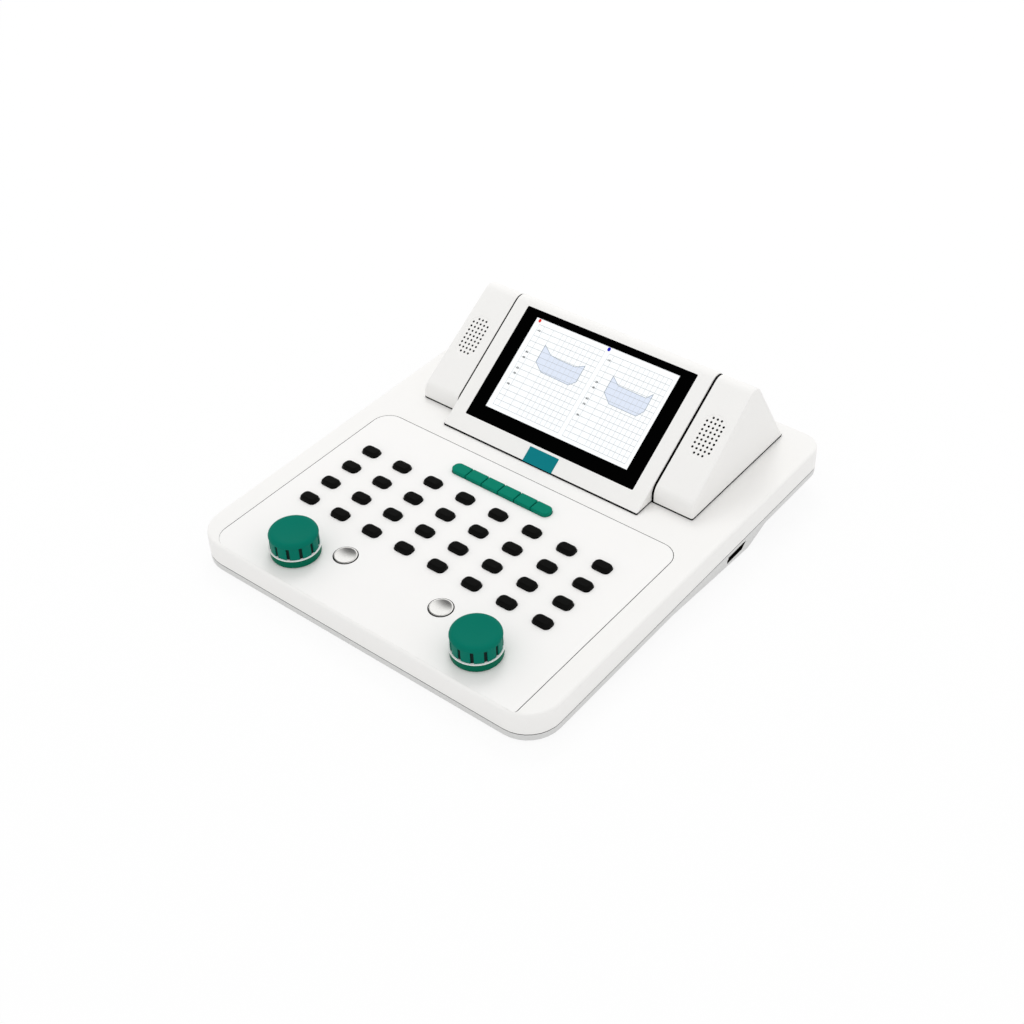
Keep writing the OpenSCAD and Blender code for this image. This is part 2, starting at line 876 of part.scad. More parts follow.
module key_mat() {
    w = mat_right_x - mat_left_x;
    d = mat_back_y - mat_front_y;
    color("slategray")
        stand() {
            difference() {
                translate([mat_left_x, mat_front_y, mat_under_z])
                    cube([w, d, -panel_t - mat_under_z]);
                translate([mat_left_x + mat_border, mat_front_y + mat_border, mat_z])
                    cube([w - 2 * mat_border, d - 2 * mat_border, -mat_z]);
            }
            translate([0, 0, mat_z - mat_t / 2]) {
                key_places()
                    cylinder(r = dome_r, h = dome_h + mat_t / 2);
                fn_places()
                    cylinder(r = dome_r, h = dome_h + mat_t / 2);
                tone_places()
                    cylinder(r = dome_r, h = dome_h + mat_t / 2);
            }
        }
}

module key_board() {
    color("darkgreen")
        stand()
            translate([mat_left_x, mat_front_y, mat_under_z - board_t])
                cube([mat_right_x - mat_left_x, mat_back_y - mat_front_y, board_t]);
}

// ---- Knobs ----

// Half of the knob's section, out to each step's radius
module knob_section() {
    ring_top = skirt_h + ring_h;
    translate([0, knob_under])
        square([skirt_r, skirt_h - knob_under]);
    translate([0, skirt_h])
        square([ring_r, ring_h]);
    translate([0, ring_top])
        square([band_r, knob_h - crown_r - ring_top]);
    translate([0, ring_top])
        square([band_r - crown_r, knob_h - ring_top]);
    translate([band_r - crown_r, knob_h - crown_r])
        circle(crown_r);
}

module knob(x) {
    ring_top = skirt_h + ring_h;
    hollow_h = bush_h + knob_under;
    ball_r = (knob_dish_r * knob_dish_r + knob_dish * knob_dish) / (2 * knob_dish);
    color("teal")
        stand()
            translate([x, knob_y, 0]) {
                difference() {
                    rotate_extrude()
                        knob_section();
                    cylinder(r = nut_w / 2 / cos(30) + nut_gap, h = hollow_h);
                    translate([0, 0, knob_h - knob_dish + ball_r])
                        sphere(ball_r);
                    for (i = [0 : flutes - 1])
                        rotate([0, 0, i * 360 / flutes])
                            translate([band_r - flute_cut, -flute_w / 2, ring_top])
                                cube([crown_r, flute_w, knob_h - crown_r - ring_top]);
                }
                translate([0, 0, -panel_t - encoder_h + wall])
                    cylinder(r = spindle_r, h = panel_t + encoder_h - wall + hollow_h + cut);
            }
}

module rotary_encoders() {
    color("dimgray")
        stand()
            knob_places()
                difference() {
                    union() {
                        translate([-encoder_w / 2, -encoder_w / 2, -panel_t - encoder_h])
                            cube([encoder_w, encoder_w, encoder_h]);
                        translate([0, 0, -panel_t - encoder_h / 2])
                            cylinder(r = bush_r, h = panel_t + encoder_h / 2 + bush_h);
                        cylinder(r = nut_w / 2 / cos(30), h = nut_t, $fn = 6);
                    }
                    translate([0, 0, -panel_t - encoder_h + wall - stop_gap])
                        cylinder(r = spindle_r + spindle_fit, h = case_d);
                }
}

// ---- Display head ----

// Where the face, drawn in by inset, reaches the height z
function face_y(inset, z) = head_front_y + (z + inset / cos(face_slope)) / tan(face_slope);
// Where the back, drawn in by inset, reaches the height z
function back_y(inset, z) = head_back_y - (z + inset / cos(back_slope)) / tan(back_slope);
// Centre of the crest of a face that lies drop below the display face
function crest_y(drop) =
    (head_front_y * tan(face_slope) + (drop + crest_r) / cos(face_slope)
     + head_back_y * tan(back_slope) - crest_r / cos(back_slope))
    / (tan(face_slope) + tan(back_slope));
function crest_z(drop) =
    (head_back_y - crest_y(drop)) * tan(back_slope) - crest_r / cos(back_slope);

// The two points where a round of radius r at c runs into the face and into the back
function on_face_side(c, r) = c + r * [-sin(face_slope), cos(face_slope)];
function on_back_side(c, r) = c + r * [sin(back_slope), cos(back_slope)];

// The centre housing seen from the side, its walls drawn in by inset
module centre_side(inset, bottom) {
    c = [crest_y(0), crest_z(0)];
    r = crest_r - inset;
    polygon([
        [face_y(inset, bottom), bottom],
        on_face_side(c, r),
        on_back_side(c, r),
        [back_y(inset, bottom), bottom]]);
    translate(c)
        circle(r);
}

// A pod seen from the side, its walls drawn in by inset
module pod_side(inset, bottom) {
    c = [crest_y(pod_drop), crest_z(pod_drop)];
    r = crest_r - inset;
    nose_y = pod_front_y + nose_r;
    nose_z = (nose_y - head_front_y) * tan(face_slope) - (pod_drop + nose_r) / cos(face_slope);
    polygon([
        [pod_front_y + inset, bottom],
        [pod_front_y + inset, nose_z],
        on_face_side([nose_y, nose_z], nose_r - inset),
        on_face_side(c, r),
        on_back_side(c, r),
        [back_y(inset, bottom), bottom]]);
    translate(c)
        circle(r);
    intersection() {
        translate([nose_y, nose_z])
            circle(nose_r - inset);
        translate([0, bottom])
            square(case_d);
    }
}

// Puts flat work on the display face: y runs up the slope and z stands out of it
module on_face() {
    translate([0, head_front_y, 0])
        rotate([face_slope, 0, 0])
            children();
}

// The centre housing's hollow shell with its screw bosses, front and back together
module centre_shell() {
    difference() {
        union() {
            difference() {
                across(2 * centre_half_w)
                    centre_side(0, plinth_h);
                across(2 * (centre_half_w - head_wall))
                    centre_side(head_wall, plinth_h - cut);
            }
            intersection() {
                across(2 * centre_half_w)
                    centre_side(head_wall / 2, plinth_h);
                head_screw_places()
                    cylinder(r = boss_r, h = head_d);
            }
        }
        head_screw_places()
            cylinder(r = screw_r + screw_fit, h = screw_l);
    }
}

// Everything in front of the head's seam, or behind it
module front_of_seam(behind = false) {
    translate([-case_w / 2, crest_y(0) - (behind ? 0 : case_d), 0])
        cube([case_w, case_d, head_d]);
}

module display_housing() {
    color("whitesmoke")
        stand()
            difference() {
                intersection() {
                    centre_shell();
                    front_of_seam();
                }
                on_face() {
                    translate([0, glass_s + glass_l / 2, -glass_t])
                        linear_extrude(head_wall)
                            rounded_rect(glass_w + 2 * glass_gap, glass_l + 2 * glass_gap,
                                         glass_r + glass_gap);
                    translate([-window_w / 2, lcd_s - window_l / 2, -head_wall - cut])
                        cube([window_w, window_l, head_wall + cut]);
                }
            }
}

module display_rear_cover() {
    color("whitesmoke")
        stand()
            intersection() {
                centre_shell();
                front_of_seam(behind = true);
            }
}

module display_glass() {
    color("black")
        stand()
            on_face()
                translate([0, glass_s + glass_l / 2, -glass_t])
                    linear_extrude(glass_t)
                        rounded_rect(glass_w, glass_l, glass_r);
}

module lcd_module() {
    color("gray")
        stand()
            on_face()
                translate([-lcd_w / 2, lcd_s - lcd_l / 2, -head_wall - lcd_t])
                    cube([lcd_w, lcd_l, lcd_t]);
}

// How far a grille hole at x, s lies from the grille's middle line
function off_line(x, s) = norm([x, max(abs(s) - (grille_l - grille_w) / 2, 0)]);

// The round holes of one grille: rows and columns that stay inside its round-ended outline
module grille_holes() {
    rows = ceil(grille_l / grille_row / 2);
    cols = ceil(grille_w / grille_pitch / 2);
    for (row = [-rows : rows], col = [-cols : cols]) {
        x = col * grille_pitch;
        s = row * grille_row;
        if (off_line(x, s) < grille_w / 2 - grille_hole_r)
            translate([x, s, 0])
                cylinder(r = grille_hole_r, h = head_wall + 2 * cut, $fn = 16);
    }
}

module speaker_pod(side) {
    color("whitesmoke")
        stand()
            difference() {
                union() {
                    translate([side * pod_x, 0, 0])
                        difference() {
                            across(pod_w)
                                pod_side(0, plinth_h);
                            across(pod_w - 2 * head_wall)
                                pod_side(head_wall, plinth_h - cut);
                        }
                    intersection() {
                        translate([side * pod_x, 0, 0])
                            across(pod_w)
                                pod_side(head_wall / 2, plinth_h);
                        head_screw_places()
                            cylinder(r = boss_r, h = head_d);
                    }
                }
                head_screw_places()
                    cylinder(r = screw_r + screw_fit, h = screw_l);
                on_face()
                    translate([side * grille_x, grille_s, -pod_drop - head_wall - cut])
                        grille_holes();
            }
}

module loudspeakers() {
    color("dimgray")
        stand()
            on_face()
                for (side = [-1, 1])
                    translate([side * pod_x, grille_s, -pod_drop - head_wall])
                        mirror([0, 0, 1])
                            difference() {
                                union() {
                                    cylinder(r = speaker_r, h = board_t);
                                    cylinder(r1 = speaker_r - board_t, r2 = magnet_r,
                                             h = speaker_h / 2);
                                    cylinder(r = magnet_r, h = speaker_h);
                                }
                                translate([0, 0, -cut / 2])
                                    cylinder(r1 = speaker_r - 2 * board_t, r2 = board_t,
                                             h = speaker_h / 3);
                            }
}

// ---- Inside and at the back ----

// One copy of the children at each post, whose foot in the floor is at $post_z
module main_posts() {
    for (side = [-1, 1], y = [main_back_y - main_d + post_in, main_back_y - post_back]) {
        $post_z = under_z(y) + wall / 2;
        translate([side * (main_w / 2 - post_in), y, $post_z])
            children();
    }
}

module main_board() {
    color("darkgreen")
        stand()
            difference() {
                translate([-main_w / 2, main_back_y - main_d, main_z - board_t])
                    cube([main_w, main_d, board_t]);
                main_posts()
                    cylinder(r = screw_r + screw_gap, h = case_d);
            }
}

module audio_sockets() {
    color("black")
        stand()
            jack_places()
                difference() {
                    union() {
                        translate([-jack_body / 2, -jack_body / 2, -wall - jack_sunk - jack_body_l])
                            cube([jack_body, jack_body, jack_body_l]);
                        translate([0, 0, -wall - jack_body_l / 2])
                            cylinder(r = jack_nose_r, h = wall + jack_body_l / 2 - jack_sunk);
                    }
                    translate([0, 0, -jack_sunk - jack_bore])
                        cylinder(r = jack_r, h = jack_bore + cut);
                }
}

// The middle of the hole for the socket at the side port's inner end
module socket_place() {
    translate([port_end_x - port_wall / 2, port_y + port_l / 2, port_z - port_h / 2])
        children();
}

module side_socket() {
    body = 2 * socket_h;
    color("black")
        stand()
            socket_place() {
                translate([-port_wall / 2 - cut, -socket_w / 2, -socket_h / 2])
                    cube([port_wall + cut + socket_out, socket_w, socket_h]);
                translate([-port_wall / 2 - body, -socket_w / 2 - cut, -body / 2])
                    cube([body, socket_w + 2 * cut, body]);
            }
}

top_shell();
bottom_shell();
control_panel();
display_housing();
display_rear_cover();
speaker_pod(-1);  // speaker_pod_left
speaker_pod(1);  // speaker_pod_right
display_glass();
lcd_module();
key_mat();
key_board();
main_board();
rotary_encoders();
loudspeakers();
rubber_feet();
case_screws();
audio_sockets();
side_socket();
knob(knob_x[0]);  // knob_left
knob(knob_x[1]);  // knob_right
tone_button(tone_x[0]);  // tone_button_left
tone_button(tone_x[1]);  // tone_button_right
for (i = [0 : fn_count - 1])
    function_key(i);
for (row = [0 : key_rows - 1], col = [0 : key_cols - 1])
    key_cap(row, col);
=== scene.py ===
# %% [markdown]
# # A desktop audiometer
# A low case of moulded plastic, a little higher at the back, carries 32 black keys, a strip of
# six teal function keys, two fluted knobs and two dished steel buttons. Behind them a sloping
# display stands between two loudspeaker pods. The CAD model fixes every size and place; this
# file gives each piece its finished surface, its edges and its material.

# %% Load the CAD frame
import json
import math

import bmesh
import bpy
import numpy as np
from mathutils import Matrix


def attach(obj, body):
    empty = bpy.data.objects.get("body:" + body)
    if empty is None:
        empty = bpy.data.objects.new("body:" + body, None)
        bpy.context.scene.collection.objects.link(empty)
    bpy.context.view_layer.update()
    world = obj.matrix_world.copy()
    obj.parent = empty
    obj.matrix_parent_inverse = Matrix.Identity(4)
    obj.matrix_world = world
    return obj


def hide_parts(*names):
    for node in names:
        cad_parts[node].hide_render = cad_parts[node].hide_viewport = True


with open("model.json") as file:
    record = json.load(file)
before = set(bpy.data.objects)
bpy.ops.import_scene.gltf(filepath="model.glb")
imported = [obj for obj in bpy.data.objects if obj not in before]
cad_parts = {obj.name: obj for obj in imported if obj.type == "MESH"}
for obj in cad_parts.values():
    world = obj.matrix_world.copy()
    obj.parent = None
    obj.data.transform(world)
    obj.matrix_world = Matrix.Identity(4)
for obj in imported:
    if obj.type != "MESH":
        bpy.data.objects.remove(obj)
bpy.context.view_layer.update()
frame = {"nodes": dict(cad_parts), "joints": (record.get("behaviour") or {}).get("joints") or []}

NODES = frame["nodes"]

# %% [markdown]
# ## The camera
# The photograph looks down on the front right corner. The place and the lens were found by
# matching some sixty corners of the object, so the picture has the same perspective.

# %% Camera
LENS_MM = 54.438
camera_data = bpy.data.cameras.new("camera")
camera_data.lens = LENS_MM
camera = bpy.data.objects.new("camera", camera_data)
camera.location = (0.637504, -0.805753, 0.830711)
camera.rotation_euler = np.radians((51.33067, 0.16583, 38.46061))
bpy.context.scene.collection.objects.link(camera)
bpy.context.scene.camera = camera
print("camera at", tuple(round(c, 3) for c in camera.location))

# %% [markdown]
# ## A level frame for a tilted case
# The case stands with its back edge up by a few degrees. Drawing on a slope is awkward, so
# every piece is drawn in millimetres on the level case, with the top face at z = 0 and the
# front edge at y = 0, and one function tilts it and lifts it on to its feet. The tilt is read
# from the axis of a knob, which stands square to the top face.

# %% From the level case to the room
MM = 0.001
KNOB_LEFT_X, KNOB_RIGHT_X, KNOB_Y = -90.4, 97.4, 33.2

spindle = next(j for j in frame["joints"] if j["name"] == "knob_left_turn")
TILT = math.atan2(-spindle["axis"][1], spindle["axis"][2])
SHIFT_Y = spindle["pos_m"][1] / MM - KNOB_Y * math.cos(TILT)
LIFT = spindle["pos_m"][2] / MM - KNOB_Y * math.sin(TILT)


def stand(points):
    """Level millimetres to metres in the room: y becomes shift + y cos t - z sin t, and z
    becomes lift + y sin t + z cos t, with t the tilt; x stays."""
    x, y, z = np.moveaxis(np.asarray(points, float), -1, 0)
    return MM * np.stack([x,
                          SHIFT_Y + y * math.cos(TILT) - z * math.sin(TILT),
                          LIFT + y * math.sin(TILT) + z * math.cos(TILT)], -1)


def level_box(node):
    """Lowest and highest corner of a CAD node on the level case, in mm: stand() is undone for
    every vertex, and the least and greatest of each coordinate are kept."""
    mesh = NODES[node].data
    flat = np.empty(3 * len(mesh.vertices))
    mesh.vertices.foreach_get("co", flat)
    x, y, z = flat.reshape(-1, 3).T / MM
    y, z = y - SHIFT_Y, z - LIFT
    level = np.stack([x,
                      y * math.cos(TILT) + z * math.sin(TILT),
                      z * math.cos(TILT) - y * math.sin(TILT)])
    return level.min(1), level.max(1)


print("tilt", round(math.degrees(TILT), 3), "degrees; panel spans",
      [np.round(corner, 1).tolist() for corner in level_box("control_panel")])

# %% [markdown]
# ## Materials
# The whole object is moulded plastic, apart from the steel buttons, the glass and the screws.
# Each material is built from nodes: two close tones under a broad noise, a fine grain in the
# bump, and a roughness that wanders a little, as on a part straight from the mould.

# %% Colours and one helper for nodes
def linear(hex_colour):
    """An sRGB hex colour as linear red, green, blue, alpha: a channel c up to 0.04045 becomes
    c / 12.92, and above it ((c + 0.055) / 1.055) to the power 2.4."""
    c = np.array([int(hex_colour[i:i + 2], 16) for i in (1, 3, 5)]) / 255
    c = np.where(c <= 0.04045, c / 12.92, ((c + 0.055) / 1.055) ** 2.4)
    return (*c.tolist(), 1.0)


def add(tree, kind, inputs=None, **settings):
    """Adds one shader node. settings are its own properties; inputs gives sockets by name or
    number a fixed value or the output of another node."""
    node = tree.nodes.new("ShaderNode" + kind)
    for key, value in settings.items():
        setattr(node, key, value)
    for key, value in (inputs or {}).items():
        if isinstance(value, bpy.types.NodeSocket):
            tree.links.new(value, node.inputs[key])
        else:
            node.inputs[key].default_value = value
    return node


def blank(name):
    """A new material with nothing but its output; gives the material and its node tree."""
    material = bpy.data.materials.new(name)
    material.use_nodes = True
    material.node_tree.nodes.clear()
    return material, material.node_tree


def close(tree, shader):
    """Links a shader to the tree's output."""
    add(tree, "OutputMaterial", {"Surface": shader.outputs[0]})


# %% [markdown]
# ### Moulded plastics
# Real mould texture is about 0.2 mm from grain to grain, less than a pixel of the picture. It
# is drawn a few times coarser, so that it still breaks up the light. The broad tone is the
# slight unevenness of pigment and shrinkage over a hand's breadth.

# %% Moulded plastics
BROAD_M = 0.07
MIX_FACTOR, MIX_A, MIX_B, MIX_RESULT = 0, 6, 7, 2
ABS_IOR, PC_IOR, PMMA_IOR, SILICONE_IOR = 1.54, 1.58, 1.49, 1.43


def moulded(name, tone, deeper, grain_mm, depth_mm, roughness, ior=ABS_IOR, shine=0.5):
    """A moulded plastic. Colour: tone and deeper mixed by noise BROAD_M across. Bump: noise of
    grain_mm, depth_mm deep. Roughness: swings with the broad noise between its two values.
    shine is the share of the mirror light that the texture lets through, 0.5 for a bare one."""
    material, tree = blank(name)
    place = add(tree, "TexCoord").outputs["Object"]
    broad = add(tree, "TexNoise", {"Vector": place, "Scale": 1 / BROAD_M, "Detail": 3.0})
    grain = add(tree, "TexNoise", {"Vector": place, "Scale": 1 / (grain_mm * MM), "Detail": 2.0})
    colour = add(tree, "Mix", {MIX_FACTOR: broad.outputs["Fac"], MIX_A: linear(tone),
                               MIX_B: linear(deeper)}, data_type="RGBA")
    rough = add(tree, "MapRange", {"Value": broad.outputs["Fac"], "To Min": roughness[0],
                                   "To Max": roughness[1]})
    bump = add(tree, "Bump", {"Height": grain.outputs["Fac"], "Strength": 0.6,
                              "Distance": depth_mm * MM})
    close(tree, add(tree, "BsdfPrincipled", {"Base Color": colour.outputs[MIX_RESULT],
                                             "Roughness": rough.outputs[0], "IOR": ior,
                                             "Specular IOR Level": shine,
                                             "Normal": bump.outputs[0]}))
    return material


# Spark-eroded ABS: a dull satin that never shows a sharp reflection
case_white = moulded("spark_eroded_white_abs", "#F3F2F0", "#F0EFED", 1.5, 0.05, (0.42, 0.52))
# The lower shell is the same white made a touch greyer: painted shade, for the weaker light low
# down near the floor
case_white_painted_shade = moulded("spark_eroded_white_abs_painted_shade", "#DADAD9", "#D4D4D3", 1.5, 0.05, (0.45, 0.55))
# Hard-coated polycarbonate plate: smoother than the shells, but coated against glare
panel_white = moulded("hard_coated_polycarbonate", "#F4F3F2", "#F1F0EE", 1.2, 0.02, (0.32, 0.4),
                      PC_IOR, 0.25)
# Filled ABS key caps: the texture swallows most of the shine, so the tops stay deep
key_black = moulded("textured_black_abs", "#0F0F0E", "#0B0B0A", 0.9, 0.05, (0.3, 0.4),
                    shine=0.03)
# Dyed ABS, the strip of function keys
key_teal = moulded("dyed_teal_abs", "#007F68", "#00765F", 0.9, 0.03, (0.34, 0.44), shine=0.04)
# Knob caps, moulded and lightly polished
knob_teal = moulded("satin_teal_abs", "#057463", "#046C5A", 1.1, 0.03, (0.3, 0.4), shine=0.03)
# The knob's skirt is moulded apart; its deeper green is painted shade, standing in for the shadow
# under the ring
skirt_teal_painted_shade = moulded("teal_abs_painted_shade", "#03684F", "#036049", 1.1, 0.03, (0.34, 0.44), shine=0.03)
# The flute floors are lined with a thin dark green strip
flute_dark = moulded("flute_lining_dark_green", "#0B2420", "#081B18", 0.9, 0.05, (0.6, 0.75),
                     shine=0.1)
# Polished acrylic ring between skirt and cap
ring_white = moulded("polished_white_acrylic", "#F6F6F5", "#F0F0EF", 2.0, 0.005, (0.12, 0.18),
                     PMMA_IOR)
# Black for the gaps and joints: painted shade, standing in for the shadow inside narrow gaps;
# nearly no shine
gap_shade_black = moulded("painted_gap_shade_black", "#070707", "#040404", 0.8, 0.1, (0.75, 0.9),
                       shine=0.05)
foot_rubber = moulded("moulded_foot_rubber", "#26272A", "#1D1E20", 0.9, 0.08, (0.6, 0.75),
                      shine=0.3)
socket_black = moulded("glass_filled_nylon_black", "#0D0D0D", "#080808", 0.7, 0.05, (0.4, 0.5),
                       shine=0.12)
mat_grey = moulded("silicone_rubber_dark", "#2C2F31", "#25282A", 1.0, 0.04, (0.5, 0.6),
                   SILICONE_IOR)
# Black of the loudspeaker cones; also the sheet behind the grille holes, where it is painted
# shade
cone_black_and_hole_shade = moulded("pressed_paper_cone_black_and_hole_shade", "#0B0B0B", "#070707", 1.0, 0.1, (0.7, 0.85),
                     shine=0.05)
print(len(bpy.data.materials), "materials so far")

# %% [markdown]
# ### Circuit boards, zinc and cast metal
# These sit inside or underneath. The boards are green solder mask over a faint woven glass
# cloth; the screws are zinc plated steel, whose crystals give a cloudy shine.

# %% Boards and plated metal
WEAVE_MM = 0.6
# The wave texture repeats every WAVE_SPAN / scale
WAVE_SPAN = 0.314


def woven_board(name):
    """Solder mask over glass cloth: two square waves of WEAVE_MM, one along x and one along y,
    added up in the bump."""
    material, tree = blank(name)
    place = add(tree, "TexCoord").outputs["Object"]
    across = add(tree, "TexWave", {"Vector": place, "Scale": WAVE_SPAN / (WEAVE_MM * MM)},
                 bands_direction="X")
    along = add(tree, "TexWave", {"Vector": place, "Scale": WAVE_SPAN / (WEAVE_MM * MM)},
                bands_direction="Y")
    cloth = add(tree, "Math", {0: across.outputs["Fac"], 1: along.outputs["Fac"]},
                operation="ADD")
    tint = add(tree, "Mix", {MIX_FACTOR: cloth.outputs[0], MIX_A: linear("#0E4A2C"),
                             MIX_B: linear("#14583A")}, data_type="RGBA")
    bump = add(tree, "Bump", {"Height": cloth.outputs[0], "Strength": 0.3, "Distance": 0.00003})
    close(tree, add(tree, "BsdfPrincipled", {"Base Color": tint.outputs[MIX_RESULT],
                                             "Roughness": 0.3, "Normal": bump.outputs[0]}))
    return material


def plated(name, bright, dull, crystal_mm, roughness):
    """Plated metal: a cell noise of crystal_mm mixes two tones and sways the roughness."""
    material, tree = blank(name)
    place = add(tree, "TexCoord").outputs["Object"]
    cells = add(tree, "TexVoronoi", {"Vector": place, "Scale": 1 / (crystal_mm * MM)})
    tint = add(tree, "Mix", {MIX_FACTOR: cells.outputs["Distance"], MIX_A: linear(bright),
                             MIX_B: linear(dull)}, data_type="RGBA")
    rough = add(tree, "MapRange", {"Value": cells.outputs["Distance"], "To Min": roughness[0],
                                   "To Max": roughness[1]})
    close(tree, add(tree, "BsdfPrincipled", {"Base Color": tint.outputs[MIX_RESULT],
                                             "Metallic": 1.0, "Roughness": rough.outputs[0]}))
    return material


board_green = woven_board("solder_mask_on_glass_painted_hole_shade")
zinc = plated("zinc_plated_steel", "#C6C9CC", "#A9ADB1", 0.9, (0.25, 0.4))
die_cast = plated("nickel_plated_die_casting", "#B9B7B2", "#9F9D99", 1.1, (0.3, 0.45))
frame_grey = plated("folded_steel_sheet", "#A8AAAC", "#97999B", 1.6, (0.35, 0.5))

# %% [markdown]
# ### Turned steel for the two buttons
# The buttons are pressed from stainless steel and finished on a lathe. The tool leaves fine
# rings about the middle, which draw a reflection out across them. Rings need a centre, so a
# Mapping node brings the middle of each button to the pattern's origin.

# %% Turned steel
RING_MM = 0.55


def turned_steel(name, middle):
    """Stainless steel with rings RING_MM apart about middle, in metres: a ring wave in the
    bump and in the roughness."""
    material, tree = blank(name)
    place = add(tree, "TexCoord").outputs["Object"]
    centred = add(tree, "Mapping", {"Vector": place, "Location": [-c for c in middle]})
    rings = add(tree, "TexWave", {"Vector": centred.outputs[0],
                                  "Scale": WAVE_SPAN / (RING_MM * MM),
                                  "Distortion": 0.4, "Detail": 1.0},
                wave_type="RINGS", rings_direction="Z")
    rough = add(tree, "MapRange", {"Value": rings.outputs["Fac"], "To Min": 0.14, "To Max": 0.2})
    bump = add(tree, "Bump", {"Height": rings.outputs["Fac"], "Strength": 0.2,
                              "Distance": 0.00002})
    close(tree, add(tree, "BsdfPrincipled", {"Base Color": linear("#F6F5F2"), "Metallic": 1.0,
                                             "Roughness": rough.outputs[0],
                                             "Normal": bump.outputs[0]}))
    return material


# %% [markdown]
# ### Glass and the lit picture
# The cover glass is printed black from behind and coated against glare, so almost nothing
# mirrors in it. The picture behind it shines by itself, so the screen's materials give off a
# little light.

# %% Glass and screen
PIXEL_MM = 0.8
PIXEL_SHADE = 0.97


def coated_glass(name):
    """Black printed glass: a very weak mirror whose roughness a broad noise smudges a little."""
    material, tree = blank(name)
    place = add(tree, "TexCoord").outputs["Object"]
    smudge = add(tree, "TexNoise", {"Vector": place, "Scale": 25.0, "Detail": 4.0})
    rough = add(tree, "MapRange", {"Value": smudge.outputs["Fac"], "To Min": 0.08,
                                   "To Max": 0.2})
    close(tree, add(tree, "BsdfPrincipled", {"Base Color": linear("#020202"),
                                             "Roughness": rough.outputs[0],
                                             "Specular IOR Level": 0.01}))
    return material


def lit(name, colour, glow):
    """A patch of the lit picture: its colour, and the same colour given off at strength glow;
    a fine noise of PIXEL_MM stands for the pixels, drawn coarser than they are."""
    material, tree = blank(name)
    place = add(tree, "TexCoord").outputs["Object"]
    dots = add(tree, "TexNoise", {"Vector": place, "Scale": 1 / (PIXEL_MM * MM), "Detail": 0.0})
    shade = [PIXEL_SHADE * c for c in linear(colour)[:3]] + [1.0]
    tint = add(tree, "Mix", {MIX_FACTOR: dots.outputs["Fac"], MIX_A: linear(colour),
                             MIX_B: shade}, data_type="RGBA")
    close(tree, add(tree, "BsdfPrincipled", {"Base Color": tint.outputs[MIX_RESULT],
                                             "Emission Color": linear(colour),
                                             "Emission Strength": glow, "Roughness": 0.35,
                                             "Specular IOR Level": 0.2}))
    return material


glass_black = coated_glass("coated_glass_printed_black")
screen_white = lit("lit_screen_white", "#F2F4F5", 0.16)
screen_row = lit("lit_screen_row_grey", "#AAB0B5", 0.06)
screen_column = lit("lit_screen_column_grey", "#CCD0D4", 0.08)
screen_band = lit("lit_screen_pale_blue", "#DCE4F3", 0.08)
screen_edge = lit("lit_screen_slate", "#7B8B97", 0.05)
screen_ink = lit("lit_screen_ink", "#1C1E20", 0.0)
screen_red = lit("lit_screen_red", "#D8210F", 0.1)
screen_blue = lit("lit_screen_blue", "#1410B4", 0.1)
plate_teal = moulded("enamelled_plate_teal", "#0A7E86", "#08777F", 1.4, 0.02, (0.25, 0.32),
                     shine=0.05)
print(len(bpy.data.materials), "materials in all")

# %% [markdown]
# ## Outlines and rings
# Most pieces here are stacks of rings: an outline is drawn in by a small inset at each height,
# and neighbouring rings are joined by four-sided faces. A quarter circle of insets gives a
# rounded edge. The outline itself is a rectangle with round corners, computed at once for all
# four corners, always with the same number of points, so that any two rings can be joined.

# %% Outlines and rings
HAIR = 0.02


def outline(x0, x1, y0, y1, radii, inset=0.0, steps=8):
    """Points round a rectangle with round corners, anticlockwise from the front left. A corner
    is centre + r (cos a, sin a) with a sweeping 90 degrees and r = radius - inset, at least a
    hair; the centre lies inset + r in from both sides."""
    r = np.maximum(np.broadcast_to(np.asarray(radii, float), 4) - inset, HAIR)[:, None]
    side_x, side_y = np.array([[-1, 1, 1, -1], [-1, -1, 1, 1]])[..., None]
    a = np.radians(np.array([[180], [270], [0], [90]]) + np.linspace(0, 90, steps + 1))
    x = np.where(side_x < 0, x0, x1) - side_x * (inset + r) + r * np.cos(a)
    y = np.where(side_y < 0, y0, y1) - side_y * (inset + r) + r * np.sin(a)
    return np.stack([x.ravel(), y.ravel()], -1)


def round_edge(radius, top, start=0.0, steps=6, reach=90, sign=1):
    """Insets and heights round a quarter circle that ends at height top: inset is
    start + r (1 - cos a) and height is top - sign r (1 - sin a), a from 0 to reach degrees."""
    a = np.radians(np.linspace(0, reach, steps + 1))
    return np.stack([start + radius * (1 - np.cos(a)),
                     top - sign * radius * (1 - np.sin(a))], -1).tolist()


def rings_of(shape, levels):
    """One ring for each (inset, height): shape(inset) gives x and y, and z is the height."""
    rings = []
    for inset, height in levels:
        flat = shape(inset)
        rings.append(np.column_stack([flat, np.full(len(flat), height)]))
    return np.stack(rings)


def ring_faces(rings, count, wrap=False):
    """Four-sided faces between neighbouring rings of count points, and a face on each end; with
    wrap, the last ring is joined to the first instead."""
    grid = np.arange(rings * count).reshape(rings, count)
    low = grid if wrap else grid[:-1]
    high = np.roll(grid, -1, 0) if wrap else grid[1:]
    quads = np.stack([low, np.roll(low, -1, 1), np.roll(high, -1, 1), high], -1)
    ends = [] if wrap else [grid[0, ::-1].tolist(), grid[-1].tolist()]
    return quads.reshape(-1, 4).tolist() + ends


def solid(rings, wrap=False):
    """Points and faces of one closed stack of rings."""
    return rings.reshape(-1, 3), ring_faces(*rings.shape[:2], wrap)


def together(parts):
    """Several sets of points and faces as one: each set's faces count on from the last."""
    points, faces, seen = [], [], 0
    for part_points, part_faces in parts:
        points.append(part_points)
        faces += [[seen + i for i in face] for face in part_faces]
        seen += len(part_points)
    return np.concatenate(points), faces


